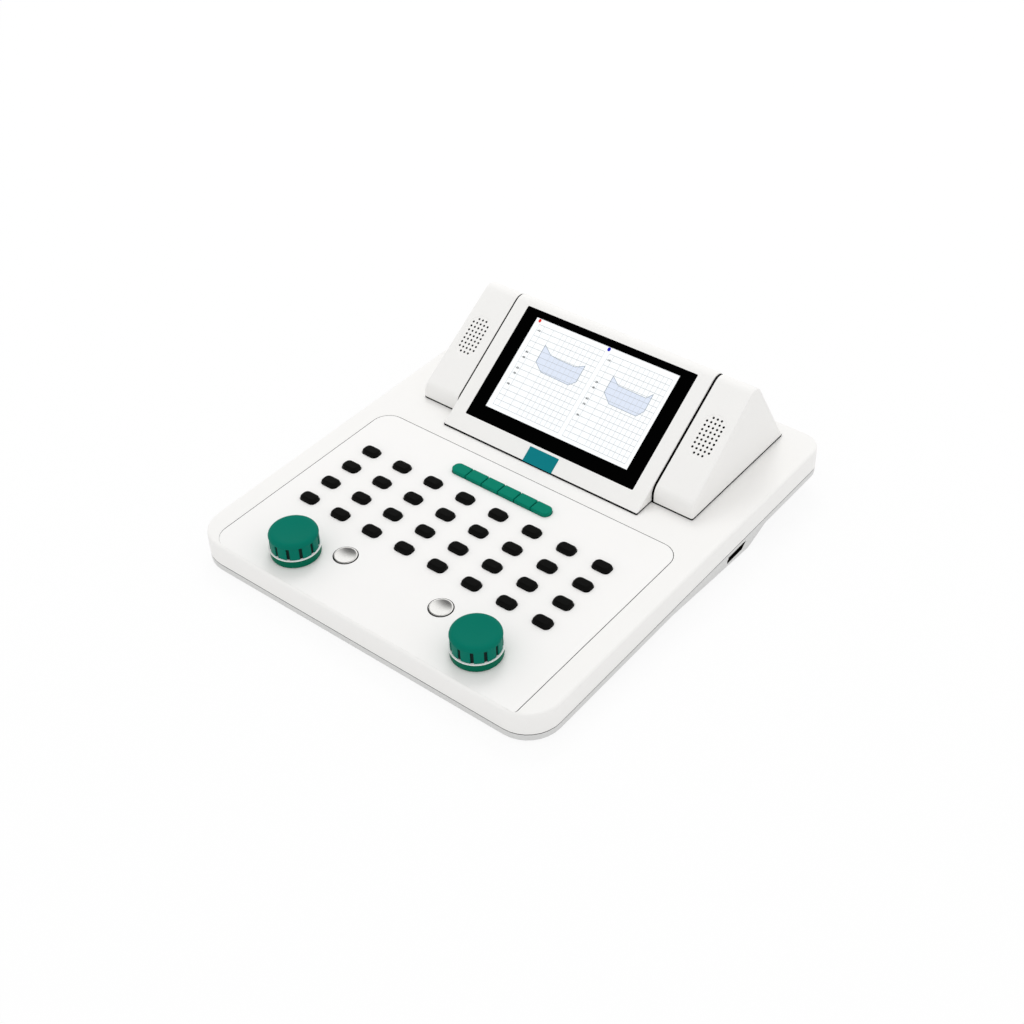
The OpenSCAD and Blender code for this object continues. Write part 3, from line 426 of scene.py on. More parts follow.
# %% [markdown]
# ## From points to a finished piece
# One function turns points and faces into a Blender object: it stands them up in the room,
# points every face outwards and links the object. A second gives it the smooth shading of a
# moulded part, with flat faces kept flat by weighted normals, and says which body carries it.

# %% Making and finishing pieces
SHARP_ANGLE = 38.0


def make(name, part, material):
    """A mesh object from level points and faces, in metres, with all faces outwards."""
    points, faces = part
    mesh = bpy.data.meshes.new(name)
    mesh.from_pydata(stand(points).tolist(), [], faces)
    work = bmesh.new()
    work.from_mesh(mesh)
    bmesh.ops.recalc_face_normals(work, faces=work.faces)
    work.to_mesh(mesh)
    work.free()
    mesh.materials.append(material)
    piece = bpy.data.objects.new(name, mesh)
    bpy.context.scene.collection.objects.link(piece)
    return piece


def finish(piece, body="case", stands_for=(), angle=SHARP_ANGLE):
    """Smooth shading with edges sharper than angle kept crisp, then the piece's body and the
    CAD nodes it stands for, which are hidden."""
    piece.data.shade_smooth()
    piece.data.set_sharp_from_angle(angle=math.radians(angle))
    weighted = piece.modifiers.new("even_normals", "WEIGHTED_NORMAL")
    weighted.keep_sharp = True
    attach(piece, body)
    if stands_for:
        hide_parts(*stands_for)
    return piece


def carve(piece, *parts):
    """Cuts each part, given as points and faces, out of the piece for good."""
    tools = [make("cutter", part, piece.data.materials[0]) for part in parts]
    for tool in tools:
        cut = piece.modifiers.new("cut", "BOOLEAN")
        cut.operation, cut.solver, cut.object = "DIFFERENCE", "EXACT", tool
    apply_modifiers(piece)
    for tool in tools:
        bpy.data.objects.remove(tool)
    return piece


def apply_modifiers(piece):
    """Replaces the piece's mesh by what its modifiers make of it."""
    seen = piece.evaluated_get(bpy.context.evaluated_depsgraph_get())
    mesh = bpy.data.meshes.new_from_object(seen)
    piece.modifiers.clear()
    piece.data = mesh


def slice_under(piece, height):
    """Cuts away what lies under a level height, in mm, and closes the cut with a flat face."""
    work = bmesh.new()
    work.from_mesh(piece.data)
    up = (0, -math.sin(TILT), math.cos(TILT))
    cut = bmesh.ops.bisect_plane(work, geom=work.verts[:] + work.edges[:] + work.faces[:],
                                 plane_co=stand((0, 0, height)).tolist(), plane_no=up,
                                 clear_inner=True)
    rim = [item for item in cut["geom_cut"] if isinstance(item, bmesh.types.BMEdge)]
    bmesh.ops.edgeloop_fill(work, edges=rim)
    bmesh.ops.recalc_face_normals(work, faces=work.faces)
    work.to_mesh(piece.data)
    work.free()
    return piece


# %% [markdown]
# ## Rods
# Holes for sockets, screws and loudspeakers are all round rods, cut out of a shell. One
# function makes any number of rods at once.

# %% Round rods
def rods(feet, u, v, along, radius, sides=24):
    """Round rods from each foot: a point is foot + t along + radius (cos a u + sin a v), with
    t 0 or 1 and a round the circle."""
    feet, u, v, along = (np.asarray(item, float) for item in (feet, u, v, along))
    a = np.linspace(0, 2 * np.pi, sides, endpoint=False)[:, None]
    ring = radius * (np.cos(a) * u + np.sin(a) * v)
    points = feet[:, None, None] + np.array([0, 1])[:, None, None] * along + ring
    return together([solid(rod) for rod in points])


# %% [markdown]
# ## The top shell
# The real shell is one injection moulding with a wall 2.5 mm thick, a rounded top edge and a
# shallow pocket for the control panel. It could be a box with a Bevel modifier and a hole; here
# the whole section is carried once round the case instead: up the outside, over the top edge,
# across the deck, down into the pocket and back along the inside. So the wall has its real
# thickness, and the pocket has true corners: three wide, one tight.

# %% Top shell
CASE_W, CASE_D = 355, 408
CASE_RADII = (30, 30, 20, 20)
TOP_EDGE_R, RIM_EDGE_R = 2.5, 2
TOP_H, RIM_H, WALL = 21, 7, 2.5
GROOVE_IN, GROOVE_H = 0.9, 0.42
PANEL_BOX = (-157, 157, 2.5, 215.5)
PANEL_RADII = (16, 3, 16, 16)
PANEL_T, PANEL_GAP, LEDGE = 2.5, 0.3, 4
SEAM_W, FRONT_SEAM, SEAM_DEPTH = 0.6, 0.05, 0.5
EDGE_REACH = 82


def case_plan(inset):
    """The case seen from above, drawn in by inset."""
    return outline(-CASE_W / 2, CASE_W / 2, 0, CASE_D, CASE_RADII, inset)


def panel_plan(inset):
    """The control panel seen from above, drawn in by inset."""
    return outline(*PANEL_BOX, PANEL_RADII, inset)


def seam_plan(width):
    """The outer edge of a seam round the panel: width away from it, but hardly away from it at
    the front, where the panel runs into the case's rounded edge."""
    x0, x1, y0, y1 = PANEL_BOX
    return outline(x0 - width, x1 + width, y0 - min(width, FRONT_SEAM), y1 + width,
                   np.add(PANEL_RADII, width))


def ledge_plan(inset):
    """The outer edge of the ledge under the panel; at the front it stays inside the wall."""
    x0, x1, _, y1 = PANEL_BOX
    return outline(x0 - LEDGE, x1 + LEDGE, WALL + 0.1, y1 + LEDGE, PANEL_RADII, inset)


outside = rings_of(case_plan, [(GROOVE_IN, -TOP_H), (0.12, -TOP_H + GROOVE_H),
                               (0, -TOP_H + 2 * GROOVE_H)]
                   + round_edge(TOP_EDGE_R, 0, reach=EDGE_REACH))
deck_z = outside[-1, 0, 2]
pocket = np.concatenate([
    rings_of(seam_plan, [(SEAM_W, deck_z), (SEAM_W, -SEAM_DEPTH), (PANEL_GAP, -SEAM_DEPTH - 0.1),
                         (PANEL_GAP, -PANEL_T)]),
    rings_of(panel_plan, [(LEDGE, -PANEL_T), (LEDGE, -2 * PANEL_T)])])
ledge = rings_of(ledge_plan, [(0, -2 * PANEL_T), (0, -WALL - 0.1)])
inside = rings_of(case_plan, [(WALL, -WALL - 0.1), (WALL, -TOP_H)])
top_shell = make("top_shell_moulding", solid(np.concatenate([outside, pocket, ledge, inside]),
                                             wrap=True), case_white)

sockets_low, sockets_high = level_box("audio_sockets")
SOCKET_HOLE_R, SOCKET_PITCH, SOCKET_BODY = 5.15, 24, 11
socket_x = np.arange(sockets_low[0] + SOCKET_BODY / 2, sockets_high[0], SOCKET_PITCH)
socket_z = (sockets_low[2] + sockets_high[2]) / 2
mouths = np.stack([socket_x, np.full(4, CASE_D - WALL - 2), np.full(4, socket_z)], -1)
carve(top_shell, rods(mouths, (1, 0, 0), (0, 0, 1), (0, WALL + 4, 0), SOCKET_HOLE_R, 48))
finish(top_shell, stands_for=["top_shell"])
print("top shell:", len(top_shell.data.polygons), "faces; sockets at x", socket_x.tolist())

# A thin black strip fills the seam between the shell and the panel: painted shade, standing in
# for the shadow down in the seam
panel_seam_shade = make("panel_seam_painted_shade", solid(rings_of(seam_plan, [
    (0.01, -SEAM_DEPTH + 0.02), (SEAM_W - 0.01, -SEAM_DEPTH + 0.02),
    (SEAM_W - 0.01, deck_z - 0.05), (0.01, deck_z - 0.05)]), wrap=True), gap_shade_black)
finish(panel_seam_shade)

# %% [markdown]
# ## The bottom shell
# Under the parting line a shallow rim closes the case, and a wedge under the rear half makes
# room for the main board and gives the tilt. The wedge is a side profile carried across the
# case, with its deepest corner rounded, as in the mould. Its ends get round edges by drawing
# the profile in along its mitres. Rim and wedge are then joined into one solid, and the port
# and the screw holes are cut out.

# %% Profiles carried across the case
def draw_in(profile, inset):
    """Every corner of a closed profile moved inwards: along n1 + n2, the inward normals of its
    two sides, divided by 1 + n1.n2, which keeps both sides inset away."""
    side = np.roll(profile, -1, 0) - profile
    side = side / np.linalg.norm(side, axis=1, keepdims=True)
    x, y = profile.T
    turn = np.sign(np.sum(x * np.roll(y, -1) - y * np.roll(x, -1)))
    normal = turn * np.stack([-side[:, 1], side[:, 0]], -1)
    before = np.roll(normal, 1, 0)
    return profile + inset * (before + normal) / (1 + np.sum(before * normal, 1, keepdims=True))


def round_corners(corners, radii, steps=7):
    """A profile whose corners are circle arcs. The arc of radius r at a corner of half angle h
    starts r / tan h before it; its centre lies r / sin h along the corner's bisector."""
    arcs = []
    corners = np.asarray(corners, float)
    for corner, before, after, r in zip(corners, np.roll(corners, 1, 0),
                                        np.roll(corners, -1, 0), radii):
        if r == 0:
            arcs.append(corner[None])
            continue
        back = (before - corner) / np.linalg.norm(before - corner)
        ahead = (after - corner) / np.linalg.norm(after - corner)
        half = math.acos(np.clip(back @ ahead, -1, 1)) / 2
        middle = corner + (back + ahead) / np.linalg.norm(back + ahead) * r / math.sin(half)
        first, last = (corner + d * r / math.tan(half) - middle for d in (back, ahead))
        angle = math.acos(np.clip(first @ last / r ** 2, -1, 1))
        t = np.linspace(0, 1, steps)[:, None]
        arcs.append(middle + (np.sin((1 - t) * angle) * first + np.sin(t * angle) * last)
                    / math.sin(angle))
    return np.concatenate(arcs)


def across(profile, x0, x1, r0, r1, steps=6):
    """A profile in y and z carried from x0 to x1 with round ends. At b degrees round an end
    the ring lies r (1 - cos b) in from it and is drawn in by r (1 - sin b)."""
    b = np.radians(np.linspace(0, 90, steps))
    places = np.concatenate([x0 + r0 * (1 - np.cos(b)), x1 - r1 * (1 - np.cos(b[::-1]))])
    insets = np.concatenate([r0 * (1 - np.sin(b)), r1 * (1 - np.sin(b[::-1]))])
    rings = [np.column_stack([np.full(len(profile), x), draw_in(profile, inset)])
             for x, inset in zip(places, insets)]
    return np.stack(rings)


# %% Bottom shell
BASE_Z = -TOP_H - RIM_H
WEDGE_FRONT_Y, WEDGE_DEEP_Y, WEDGE_BACK_Y, WEDGE_DROP = 150, 289, 321, 11.5
WEDGE_HALF_W, WEDGE_EDGE_R = 176.7, 3
RIM_TOP_Z = -TOP_H - 1
FLOOR_T = 2.5

rim = np.concatenate([
    rings_of(case_plan, [(WALL, BASE_Z + FLOOR_T), (WALL, -TOP_H), (GROOVE_IN, -TOP_H),
                         (0.12, -TOP_H - GROOVE_H), (0, -TOP_H - 2 * GROOVE_H)]),
    rings_of(case_plan, round_edge(RIM_EDGE_R, BASE_Z, sign=-1, steps=9))])
wedge_side = round_corners(
    [(WEDGE_FRONT_Y, BASE_Z), (WEDGE_DEEP_Y, BASE_Z - WEDGE_DROP), (WEDGE_BACK_Y, BASE_Z),
     (WEDGE_BACK_Y, RIM_TOP_Z), (WEDGE_FRONT_Y, RIM_TOP_Z)], (0, 14, 0, 0, 0))
wedge = across(wedge_side, -WEDGE_HALF_W, WEDGE_HALF_W, WEDGE_EDGE_R, WEDGE_EDGE_R)

# The bottom shell's greyer white is painted shade
bottom_shell = make("bottom_shell_moulding", solid(rim), case_white_painted_shade)
wedge_block = make("wedge_block", solid(wedge), case_white_painted_shade)
union = bottom_shell.modifiers.new("union", "BOOLEAN")
union.operation, union.solver, union.object = "UNION", "EXACT", wedge_block
apply_modifiers(bottom_shell)
bpy.data.objects.remove(wedge_block)

# %% Port and screw holes in the bottom shell
PORT_BOX = (255.5, 282, -31.8, -24.3)
PORT_SLANT = 4
PORT_END_X = 162.7
SCREW_X, SCREW_Y, SCREW_HOLE_R, SCREW_SINK = 168, (42, 140, 385), 3.1, 2.4


def port_profile(grow):
    """The port seen from the side: a rectangle with a slant at its lower back corner."""
    y0, y1, z0, z1 = PORT_BOX
    return draw_in(np.array([(y0, z1), (y1, z1), (y1, z0 + PORT_SLANT), (y1 - PORT_SLANT, z0),
                             (y0, z0)], float), -grow)


def port_rings(levels):
    """Rings of the port, each (grow, x)."""
    return np.stack([np.column_stack([np.full(5, x), port_profile(grow)])
                     for grow, x in levels])


screw_feet = [(side * SCREW_X, y, BASE_Z - 1) for side in (-1, 1) for y in SCREW_Y]
carve(bottom_shell, solid(port_rings([(0, PORT_END_X), (0, WEDGE_HALF_W + 3)])),
      rods(screw_feet, (1, 0, 0), (0, 1, 0), (0, 0, 1 + SCREW_SINK), SCREW_HOLE_R))
finish(bottom_shell, stands_for=["bottom_shell"])
print("bottom shell:", len(bottom_shell.data.polygons), "faces")

# A dark ring lies in the groove between the two shells: painted shade, standing in for the
# groove's shadow
SEAL_H = 0.4
shade_ring = make("parting_groove_painted_shade", solid(rings_of(case_plan, [
    (1.4, -TOP_H - SEAL_H), (0.25, -TOP_H - SEAL_H), (0.25, -TOP_H + SEAL_H),
    (1.4, -TOP_H + SEAL_H)]), wrap=True), gap_shade_black)
finish(shade_ring)

# The port is lined with a black insert, painted shade for the dark inside of the opening: out
# along its wall, round the mouth, in to its end
port_painted_shade_lining = make("port_painted_shade_lining", solid(port_rings([
    (-0.02, PORT_END_X + 0.1), (-0.02, WEDGE_HALF_W - 0.1), (-0.1, WEDGE_HALF_W - 0.03),
    (-0.4, WEDGE_HALF_W - 0.1), (-0.4, PORT_END_X + 1.2)])), gap_shade_black)
finish(port_painted_shade_lining)

# %% [markdown]
# ## The display housing
# The centre housing is a wedge with a rounded crest. Its section is known exactly: the face
# slopes at 34 degrees, the back at 61, and a circle of 11 mm touches both. Carried across, with
# a small round at each end, it gives the moulding; the part that would stand in the plinth is
# sliced off. A recess holds the cover glass, which is 1.8 mm thick.

# %% Sections of the head
HEAD_FRONT_Y, HEAD_BACK_Y = 229.5, 392.8
FACE, BACK = math.radians(34.07), math.radians(60.8)
CREST_R = 11
PLINTH_H, FOOT_Z = 1, 1.3
CENTRE_HALF_W, POD_IN_X, POD_OUT_X = 103.2, 105.0, 143.3
CENTRE_END_R, POD_IN_R, POD_OUT_R = 0.8, 0.8, 1.6
POD_FRONT_Y, POD_DROP, NOSE_R = 252.2, 1.3, 12
SUNK_Z = -4


def crest(drop):
    """Centre of the crest's circle, for a face drop below the display face: it lies CREST_R
    inside both lines. face: z = (y - front) tan F - (drop + r) / cos F; back:
    z = (back - y) tan B - r / cos B."""
    y = ((HEAD_FRONT_Y * math.tan(FACE) + (drop + CREST_R) / math.cos(FACE)
          + HEAD_BACK_Y * math.tan(BACK) - CREST_R / math.cos(BACK))
         / (math.tan(FACE) + math.tan(BACK)))
    return np.array([y, (HEAD_BACK_Y - y) * math.tan(BACK) - CREST_R / math.cos(BACK)])


def arc(middle, radius, first, last, steps):
    """Points on a circle: middle + radius (cos a, sin a), a from first to last."""
    a = np.linspace(first, last, steps)[:, None]
    return middle + radius * np.concatenate([np.cos(a), np.sin(a)], 1)


def face_y(z, drop=0.0):
    """Where a face drop below the display face reaches the height z."""
    return HEAD_FRONT_Y + (z + drop / math.cos(FACE)) / math.tan(FACE)


def back_y(z):
    """Where the back of the head reaches the height z."""
    return HEAD_BACK_Y - z / math.tan(BACK)


def crest_arc(drop, steps=12):
    """The crest from the face over to the back."""
    return arc(crest(drop), CREST_R, math.pi / 2 + FACE, math.pi / 2 - BACK, steps)


centre_section = np.concatenate([[(face_y(SUNK_Z), SUNK_Z)], crest_arc(0),
                                 [(back_y(SUNK_Z), SUNK_Z)]])
nose = np.array([POD_FRONT_Y + NOSE_R,
                 (POD_FRONT_Y + NOSE_R - HEAD_FRONT_Y) * math.tan(FACE)
                 - (POD_DROP + NOSE_R) / math.cos(FACE)])
pod_section = np.concatenate([[(POD_FRONT_Y, SUNK_Z)],
                              arc(nose, NOSE_R, math.pi, math.pi / 2 + FACE, 8),
                              crest_arc(POD_DROP), [(back_y(SUNK_Z), SUNK_Z)]])
print("crest of the housing at y, z =", crest(0).round(1).tolist())

# %% Display housing
GLASS_BOX = (-89.1, 89.1, 18.7, 130.1)
GLASS_T, GLASS_R, GLASS_GAP = 1.8, 1, 0.15
RECESS_SPARE = 0.3


def on_face(points):
    """Flat work on the display face: (x, s, t), with s up the slope and t out of it, goes to
    y = front + s cos F - t sin F, z = s sin F + t cos F."""
    x, s, t = np.moveaxis(np.asarray(points, float), -1, 0)
    return np.stack([x, HEAD_FRONT_Y + s * math.cos(FACE) - t * math.sin(FACE),
                     s * math.sin(FACE) + t * math.cos(FACE)], -1)


def face_slab(box, radii, levels, steps=8):
    """A slab on the display face with round corners: a ring for each (inset, t)."""
    rings = rings_of(lambda inset: outline(*box, radii, inset, steps), levels)
    return solid(on_face(rings))


housing = make("display_housing_moulding",
               solid(across(centre_section, -CENTRE_HALF_W, CENTRE_HALF_W, CENTRE_END_R,
                            CENTRE_END_R)), case_white)
slice_under(housing, FOOT_Z)
carve(housing, face_slab(GLASS_BOX, GLASS_R, [(-GLASS_GAP, -GLASS_T - RECESS_SPARE),
                                             (-GLASS_GAP, 2)]))
finish(housing, stands_for=["display_housing", "display_rear_cover"])
print("display housing:", len(housing.data.polygons), "faces")

# %% [markdown]
# ## Loudspeaker pods
# Each pod is the same kind of moulding with a rounded nose. Its outer side leans in by three
# degrees, so that the moulding leaves its mould, and both ends have tight rounds. The grille is
# a stadium-shaped field, pressed in by a fifth of a millimetre, with rows and columns of holes;
# a black sheet lies close behind them as painted shade for the dark inside the holes, so they
# read as dots.

# %% Grilles
POD_X = (POD_IN_X + POD_OUT_X) / 2
GRILLE_W, GRILLE_L, GRILLE_S, GRILLE_IN = 24, 41, 85.3, 0.2
HOLE_R, HOLE_PITCH, HOLE_ROW = 1.1, 4, 4.15
FIELD_DEPTH, SKIN_T = 0.2, 3.0
HOLE_SHADE_DEPTHS = (1.6, 0.7)
DRAFT = 0.05


def grille_dots():
    """Centres of the holes, (x, s) about the grille's middle: rows HOLE_ROW and columns
    HOLE_PITCH apart, and only those whose distance from the middle line is less than half the
    width."""
    row, col = np.meshgrid(np.arange(-5, 6), np.arange(-3, 4), indexing="ij")
    x = col * HOLE_PITCH
    s = row * HOLE_ROW
    off = np.hypot(x, np.maximum(np.abs(s) - (GRILLE_L - GRILLE_W) / 2, 0))
    return np.stack([x, s], -1)[off < GRILLE_W / 2 - HOLE_R]


def leaned(points, side):
    """The pod's points with the outer side leaning in: x moves towards the centre by DRAFT
    times the height over the plinth, times the share of the pod's width already crossed."""
    x, y, z = np.moveaxis(points, -1, 0)
    share = (np.abs(x) - POD_IN_X) / (POD_OUT_X - POD_IN_X)
    return np.stack([x - side * DRAFT * (z - PLINTH_H) * share, y, z], -1)


def pod(side, name, node):
    """One pod: section carried across, sliced, grille field and holes cut, a black sheet of
    painted shade set in behind the holes.
    """
    ends = sorted((side * POD_IN_X, side * POD_OUT_X))
    r0, r1 = (POD_IN_R, POD_OUT_R)[::side]
    piece = make(name, solid(leaned(across(pod_section, *ends, r0, r1, 8), side)), case_white)
    slice_under(piece, FOOT_Z)
    middle = side * (POD_X - GRILLE_IN)
    field = (middle - GRILLE_W / 2, middle + GRILLE_W / 2, GRILLE_S - GRILLE_L / 2,
             GRILLE_S + GRILLE_L / 2)
    dots = grille_dots() + (middle, GRILLE_S)
    feet = on_face(np.column_stack([dots, np.full(len(dots), -POD_DROP - SKIN_T)]))
    out = on_face((0, 0, 1)) - on_face((0, 0, 0))
    up = on_face((0, 1, 0)) - on_face((0, 0, 0))
    carve(piece,
          face_slab(field, GRILLE_W / 2, [(0.25, -POD_DROP - FIELD_DEPTH), (0, -POD_DROP),
                                          (0, 0.5)], 12),
          rods(feet, (1, 0, 0), up, (SKIN_T + 1) * out, HOLE_R, 14))
    finish(piece, stands_for=[node])
    # The black sheet behind the holes is painted shade for their dark inside
    cloth = make(name + "_painted_hole_shade", face_slab(field, GRILLE_W / 2,
                                            [(0.6, -POD_DROP - d) for d in HOLE_SHADE_DEPTHS]),
                 cone_black_and_hole_shade)
    finish(cloth)
    return len(dots)


holes = [pod(-1, "pod_left_moulding", "speaker_pod_left"),
         pod(1, "pod_right_moulding", "speaker_pod_right")]
print("grille holes:", holes)

# %% [markdown]
# ## Painted shade between the mouldings
# A thin black line runs round the foot of the head, and a black joint follows the section
# between the centre and each pod. These black strips are painted shade: they stand in for the
# shadow inside the narrow gaps under the head and between the mouldings. They come just out to
# the mouldings' edges, which gives the dark, even line.

# %% Painted shade strips
SHADE_OUT, FRONT_SHADE_OUT = 0.1, 0.5
SHADE_Z = (-0.2, FOOT_Z + 0.1)
SHADE_R, JOINT_IN, JOINT_SINK = 1.2, 0.25, 0.5


def shade_bed(name, half_w, front):
    """A flat black bed under the head, painted shade for the gap at its foot, reaching out by
    SHADE_OUT at the sides and the back.
    """
    box = (-half_w - SHADE_OUT, half_w + SHADE_OUT, front, back_y(FOOT_Z) + SHADE_OUT)
    bed = make(name, solid(rings_of(lambda inset: outline(*box, SHADE_R, inset),
                                    [(0, SHADE_Z[0]), (0, SHADE_Z[1])])), gap_shade_black)
    return finish(bed)


shade_bed("painted_shade_under_housing", CENTRE_HALF_W, face_y(FOOT_Z) - FRONT_SHADE_OUT)
shade_bed("painted_shade_under_pods", POD_OUT_X, POD_FRONT_Y - SHADE_OUT)
# Black joints between the centre and each pod: painted shade for the shadow in the gaps
for side, name in ((-1, "painted_joint_shade_left"), (1, "painted_joint_shade_right")):
    ends = sorted((side * (CENTRE_HALF_W - JOINT_SINK), side * (POD_IN_X + JOINT_SINK)))
    joint = make(name, solid(across(draw_in(pod_section, JOINT_IN), *ends, 0.1, 0.1, 2)),
                 gap_shade_black)
    finish(slice_under(joint, 0.0))

# %% [markdown]
# ## The cover glass and the lit picture
# The glass lies flush in its recess. It is made as a black frame: rings of points go up its
# outer edge and down the edge of the window, and the last ring meets the first. In the window
# lies the lit picture, two hearing charts side by side: fine grids, a pale band and a coloured
# mark each. The lines are real, very thin strips, a few hundredths of a millimetre above one
# another, so they stay sharp from any side.

# %% Cover glass
SCREEN_W, SCREEN_L = 150.5, 91.4
SCREEN_TOP_S = 123.5
SCREEN_BOX = (-SCREEN_W / 2, SCREEN_W / 2, SCREEN_TOP_S - SCREEN_L, SCREEN_TOP_S)

glass_rings = np.concatenate([
    rings_of(lambda inset: outline(*GLASS_BOX, GLASS_R, inset),
             [(0, -GLASS_T), (0, -0.2), (0.06, -0.06), (0.2, 0)]),
    rings_of(lambda inset: outline(*SCREEN_BOX, 0.3, inset), [(0, 0), (0, -GLASS_T)])])
glass = make("cover_glass", solid(on_face(glass_rings), wrap=True), glass_black)
finish(glass, stands_for=["display_glass"])
screen = make("lit_screen", face_slab(SCREEN_BOX, 0.3, [(0, -1.2), (0, -0.3)]), screen_white)
finish(screen)

# %% Charts on the screen
LINE_W = 0.26
CHARTS = {"left": (5.6, 76.4, 5.4), "right": (81.2, 146.4, 5.8)}
CHART_ROWS, CHART_PITCH = 16, 5.44
COLUMNS = {"left": np.array([5.6, 11.5, 21.6, 31.6, 36.6, 41.6, 46.6, 51.6, 56.6, 61.6, 66.6,
                             71.6, 76.4]),
           "right": np.array([81.2, 86.5, 95.9, 104.6, 109.3, 114.0, 118.7, 123.4, 128.1, 132.8,
                              137.5, 142.0, 146.4])}
BANDS = {"left": [(21.7, 20.4), (31.5, 27.0), (40.0, 27.9), (58.5, 28.2), (66.8, 24.0),
                  (67.0, 39.8), (61.5, 45.2), (31.5, 44.3), (22.0, 37.6)],
         "right": [(95.6, 22.4), (104.2, 28.5), (132.8, 29.0), (137.2, 23.6), (137.8, 39.8),
                   (133.0, 46.6), (105.0, 46.2), (95.6, 38.4)]}


def picture(u, v, t):
    """A place in the picture, u from its left edge and v down from its top, as (x, s, t)."""
    return np.stack(np.broadcast_arrays(u - SCREEN_W / 2, SCREEN_TOP_S - np.asarray(v), t), -1)


def strips(starts, ends, width, low, high):
    """Thin strips between pairs of points: each point moves half the width to both sides along
    the normal of its strip, at the heights low and high, which gives eight corners a strip."""
    starts, ends = np.asarray(starts, float), np.asarray(ends, float)
    run = (ends - starts) / np.linalg.norm(ends - starts, axis=1, keepdims=True)
    across_run = np.stack([-run[:, 1], run[:, 0]], -1) * width / 2
    flat = np.stack([starts - across_run, ends - across_run, ends + across_run,
                     starts + across_run], 1)
    rings = np.stack([picture(flat[..., 0], flat[..., 1], t) for t in (low, high)], 1)
    return together([solid(on_face(ring)) for ring in rings])


def chart_lines(key):
    """Start and end points of a chart's rows, and of its columns."""
    left, right, top = CHARTS[key]
    v = top + CHART_PITCH * np.arange(CHART_ROWS)
    u = COLUMNS[key]
    rows = np.stack([np.stack([np.full(len(v), left), v], -1),
                     np.stack([np.full(len(v), right), v], -1)])
    columns = np.stack([np.stack([u, np.full(len(u), v[0])], -1),
                        np.stack([u, np.full(len(u), v[-1])], -1)])
    return rows, columns


def flat_shape(corners, low, high):
    """A polygon of the picture as a thin plate between two heights."""
    u, v = np.asarray(corners, float).T
    return solid(on_face(np.stack([picture(u, v, low), picture(u, v, high)])))


rows, columns = (np.concatenate(part, 1) for part in zip(*map(chart_lines, CHARTS)))
row_lines = make("chart_rows", strips(*rows, LINE_W, -0.4, -0.2), screen_row)
column_lines = make("chart_columns", strips(*columns, LINE_W, -0.4, -0.22), screen_column)
bands = make("chart_bands", together([flat_shape(BANDS[key], -0.4, -0.25) for key in BANDS]),
             screen_band)
edges = [np.array(BANDS[key], float) for key in BANDS]
borders = make("chart_band_edges",
               strips(np.concatenate(edges), np.concatenate([np.roll(e, -1, 0) for e in edges]),
                      LINE_W, -0.4, -0.15), screen_edge)
for piece in (row_lines, column_lines, bands, borders):
    finish(piece)
print("chart lines:", rows.shape[1], "across and", columns.shape[1], "down")

# %% Marks and numbers on the screen
MARK_RED, MARK_BLUE = (4.2, 2.1), (78.9, 2.2)
LABEL_ROWS = (1, 5, 6, 8, 9, 11)
FIRST_LEVEL, LEVEL_STEP = -20, 10
LABEL_SIZE = 2.7


def disc(middle, half_w, half_h, corners=20):
    """An oval in the picture: middle + (half_w cos a, half_h sin a)."""
    a = np.linspace(0, 2 * np.pi, corners, endpoint=False)
    return np.stack([middle[0] + half_w * np.cos(a), middle[1] + half_h * np.sin(a)], -1)


finish(make("chart_mark_right_ear", flat_shape(disc(MARK_RED, 1.3, 1.7), -0.4, -0.1),
            screen_red))
finish(make("chart_mark_left_ear", flat_shape(disc(MARK_BLUE, 1.5, 1.8), -0.4, -0.1),
            screen_blue))


def number(text, u, v):
    """A number as a flat solid whose right end is at u and whose middle is at v: Blender's own
    font is made a mesh, and its points go on to the display face."""
    curve = bpy.data.curves.new("number", "FONT")
    curve.body, curve.size, curve.extrude = text, LABEL_SIZE, 0.1
    curve.align_x, curve.align_y = "RIGHT", "CENTER"
    curve.resolution_u = 2
    letters = bpy.data.objects.new("number", curve)
    bpy.context.scene.collection.objects.link(letters)
    bpy.context.view_layer.update()
    mesh = bpy.data.meshes.new_from_object(letters)
    flat = np.empty(3 * len(mesh.vertices))
    mesh.vertices.foreach_get("co", flat)
    flat = flat.reshape(-1, 3)
    faces = [list(face.vertices) for face in mesh.polygons]
    bpy.data.objects.remove(letters)
    place = picture(u + flat[:, 0], v - flat[:, 1], flat[:, 2] - 0.25)
    return on_face(place), faces


labels = [number(str(FIRST_LEVEL + LEVEL_STEP * row), left + 4.4, top + CHART_PITCH * row)
          for left, _, top in CHARTS.values() for row in LABEL_ROWS]
finish(make("chart_numbers", together(labels), screen_ink))

# %% [markdown]
# ## The bare plate
# A small enamelled plate with a plain face is glued under the screen.

# %% Bare plate
PLATE_BOX = (-15.25, 15.25, 2.0, 16.2)
plate = make("bare_plate", face_slab(PLATE_BOX, 0.5, [(0, -0.4), (0, 0.25), (0.06, 0.35),
                                                      (0.2, 0.4)]), plate_teal)
finish(plate)

# %% [markdown]
# ## Key caps
# A key cap is a rounded block whose top has a bevel with a soft shoulder at both ends. The
# shape is one function of the inset and the height, so all 32 caps come from the same rings,
# moved to where the CAD model has them. Each rides on its own body, because each can be
# pressed.

# %% Key caps
KEY_W, KEY_D, KEY_R = 16.2, 11, 4.6
CAP_FOOT = -2.4
KEY_LEVELS = [(0, CAP_FOOT), (0, 1.75), (0.06, 2.02), (0.25, 2.26), (1.25, 3.18), (1.5, 3.38),
              (1.78, 3.5), (2.15, 3.57), (2.6, 3.6)]


def block(width, depth, radii, levels, steps=8):
    """Rings of a rounded block about the origin."""
    return rings_of(lambda inset: outline(-width / 2, width / 2, -depth / 2, depth / 2, radii,
                                          inset, steps), levels)


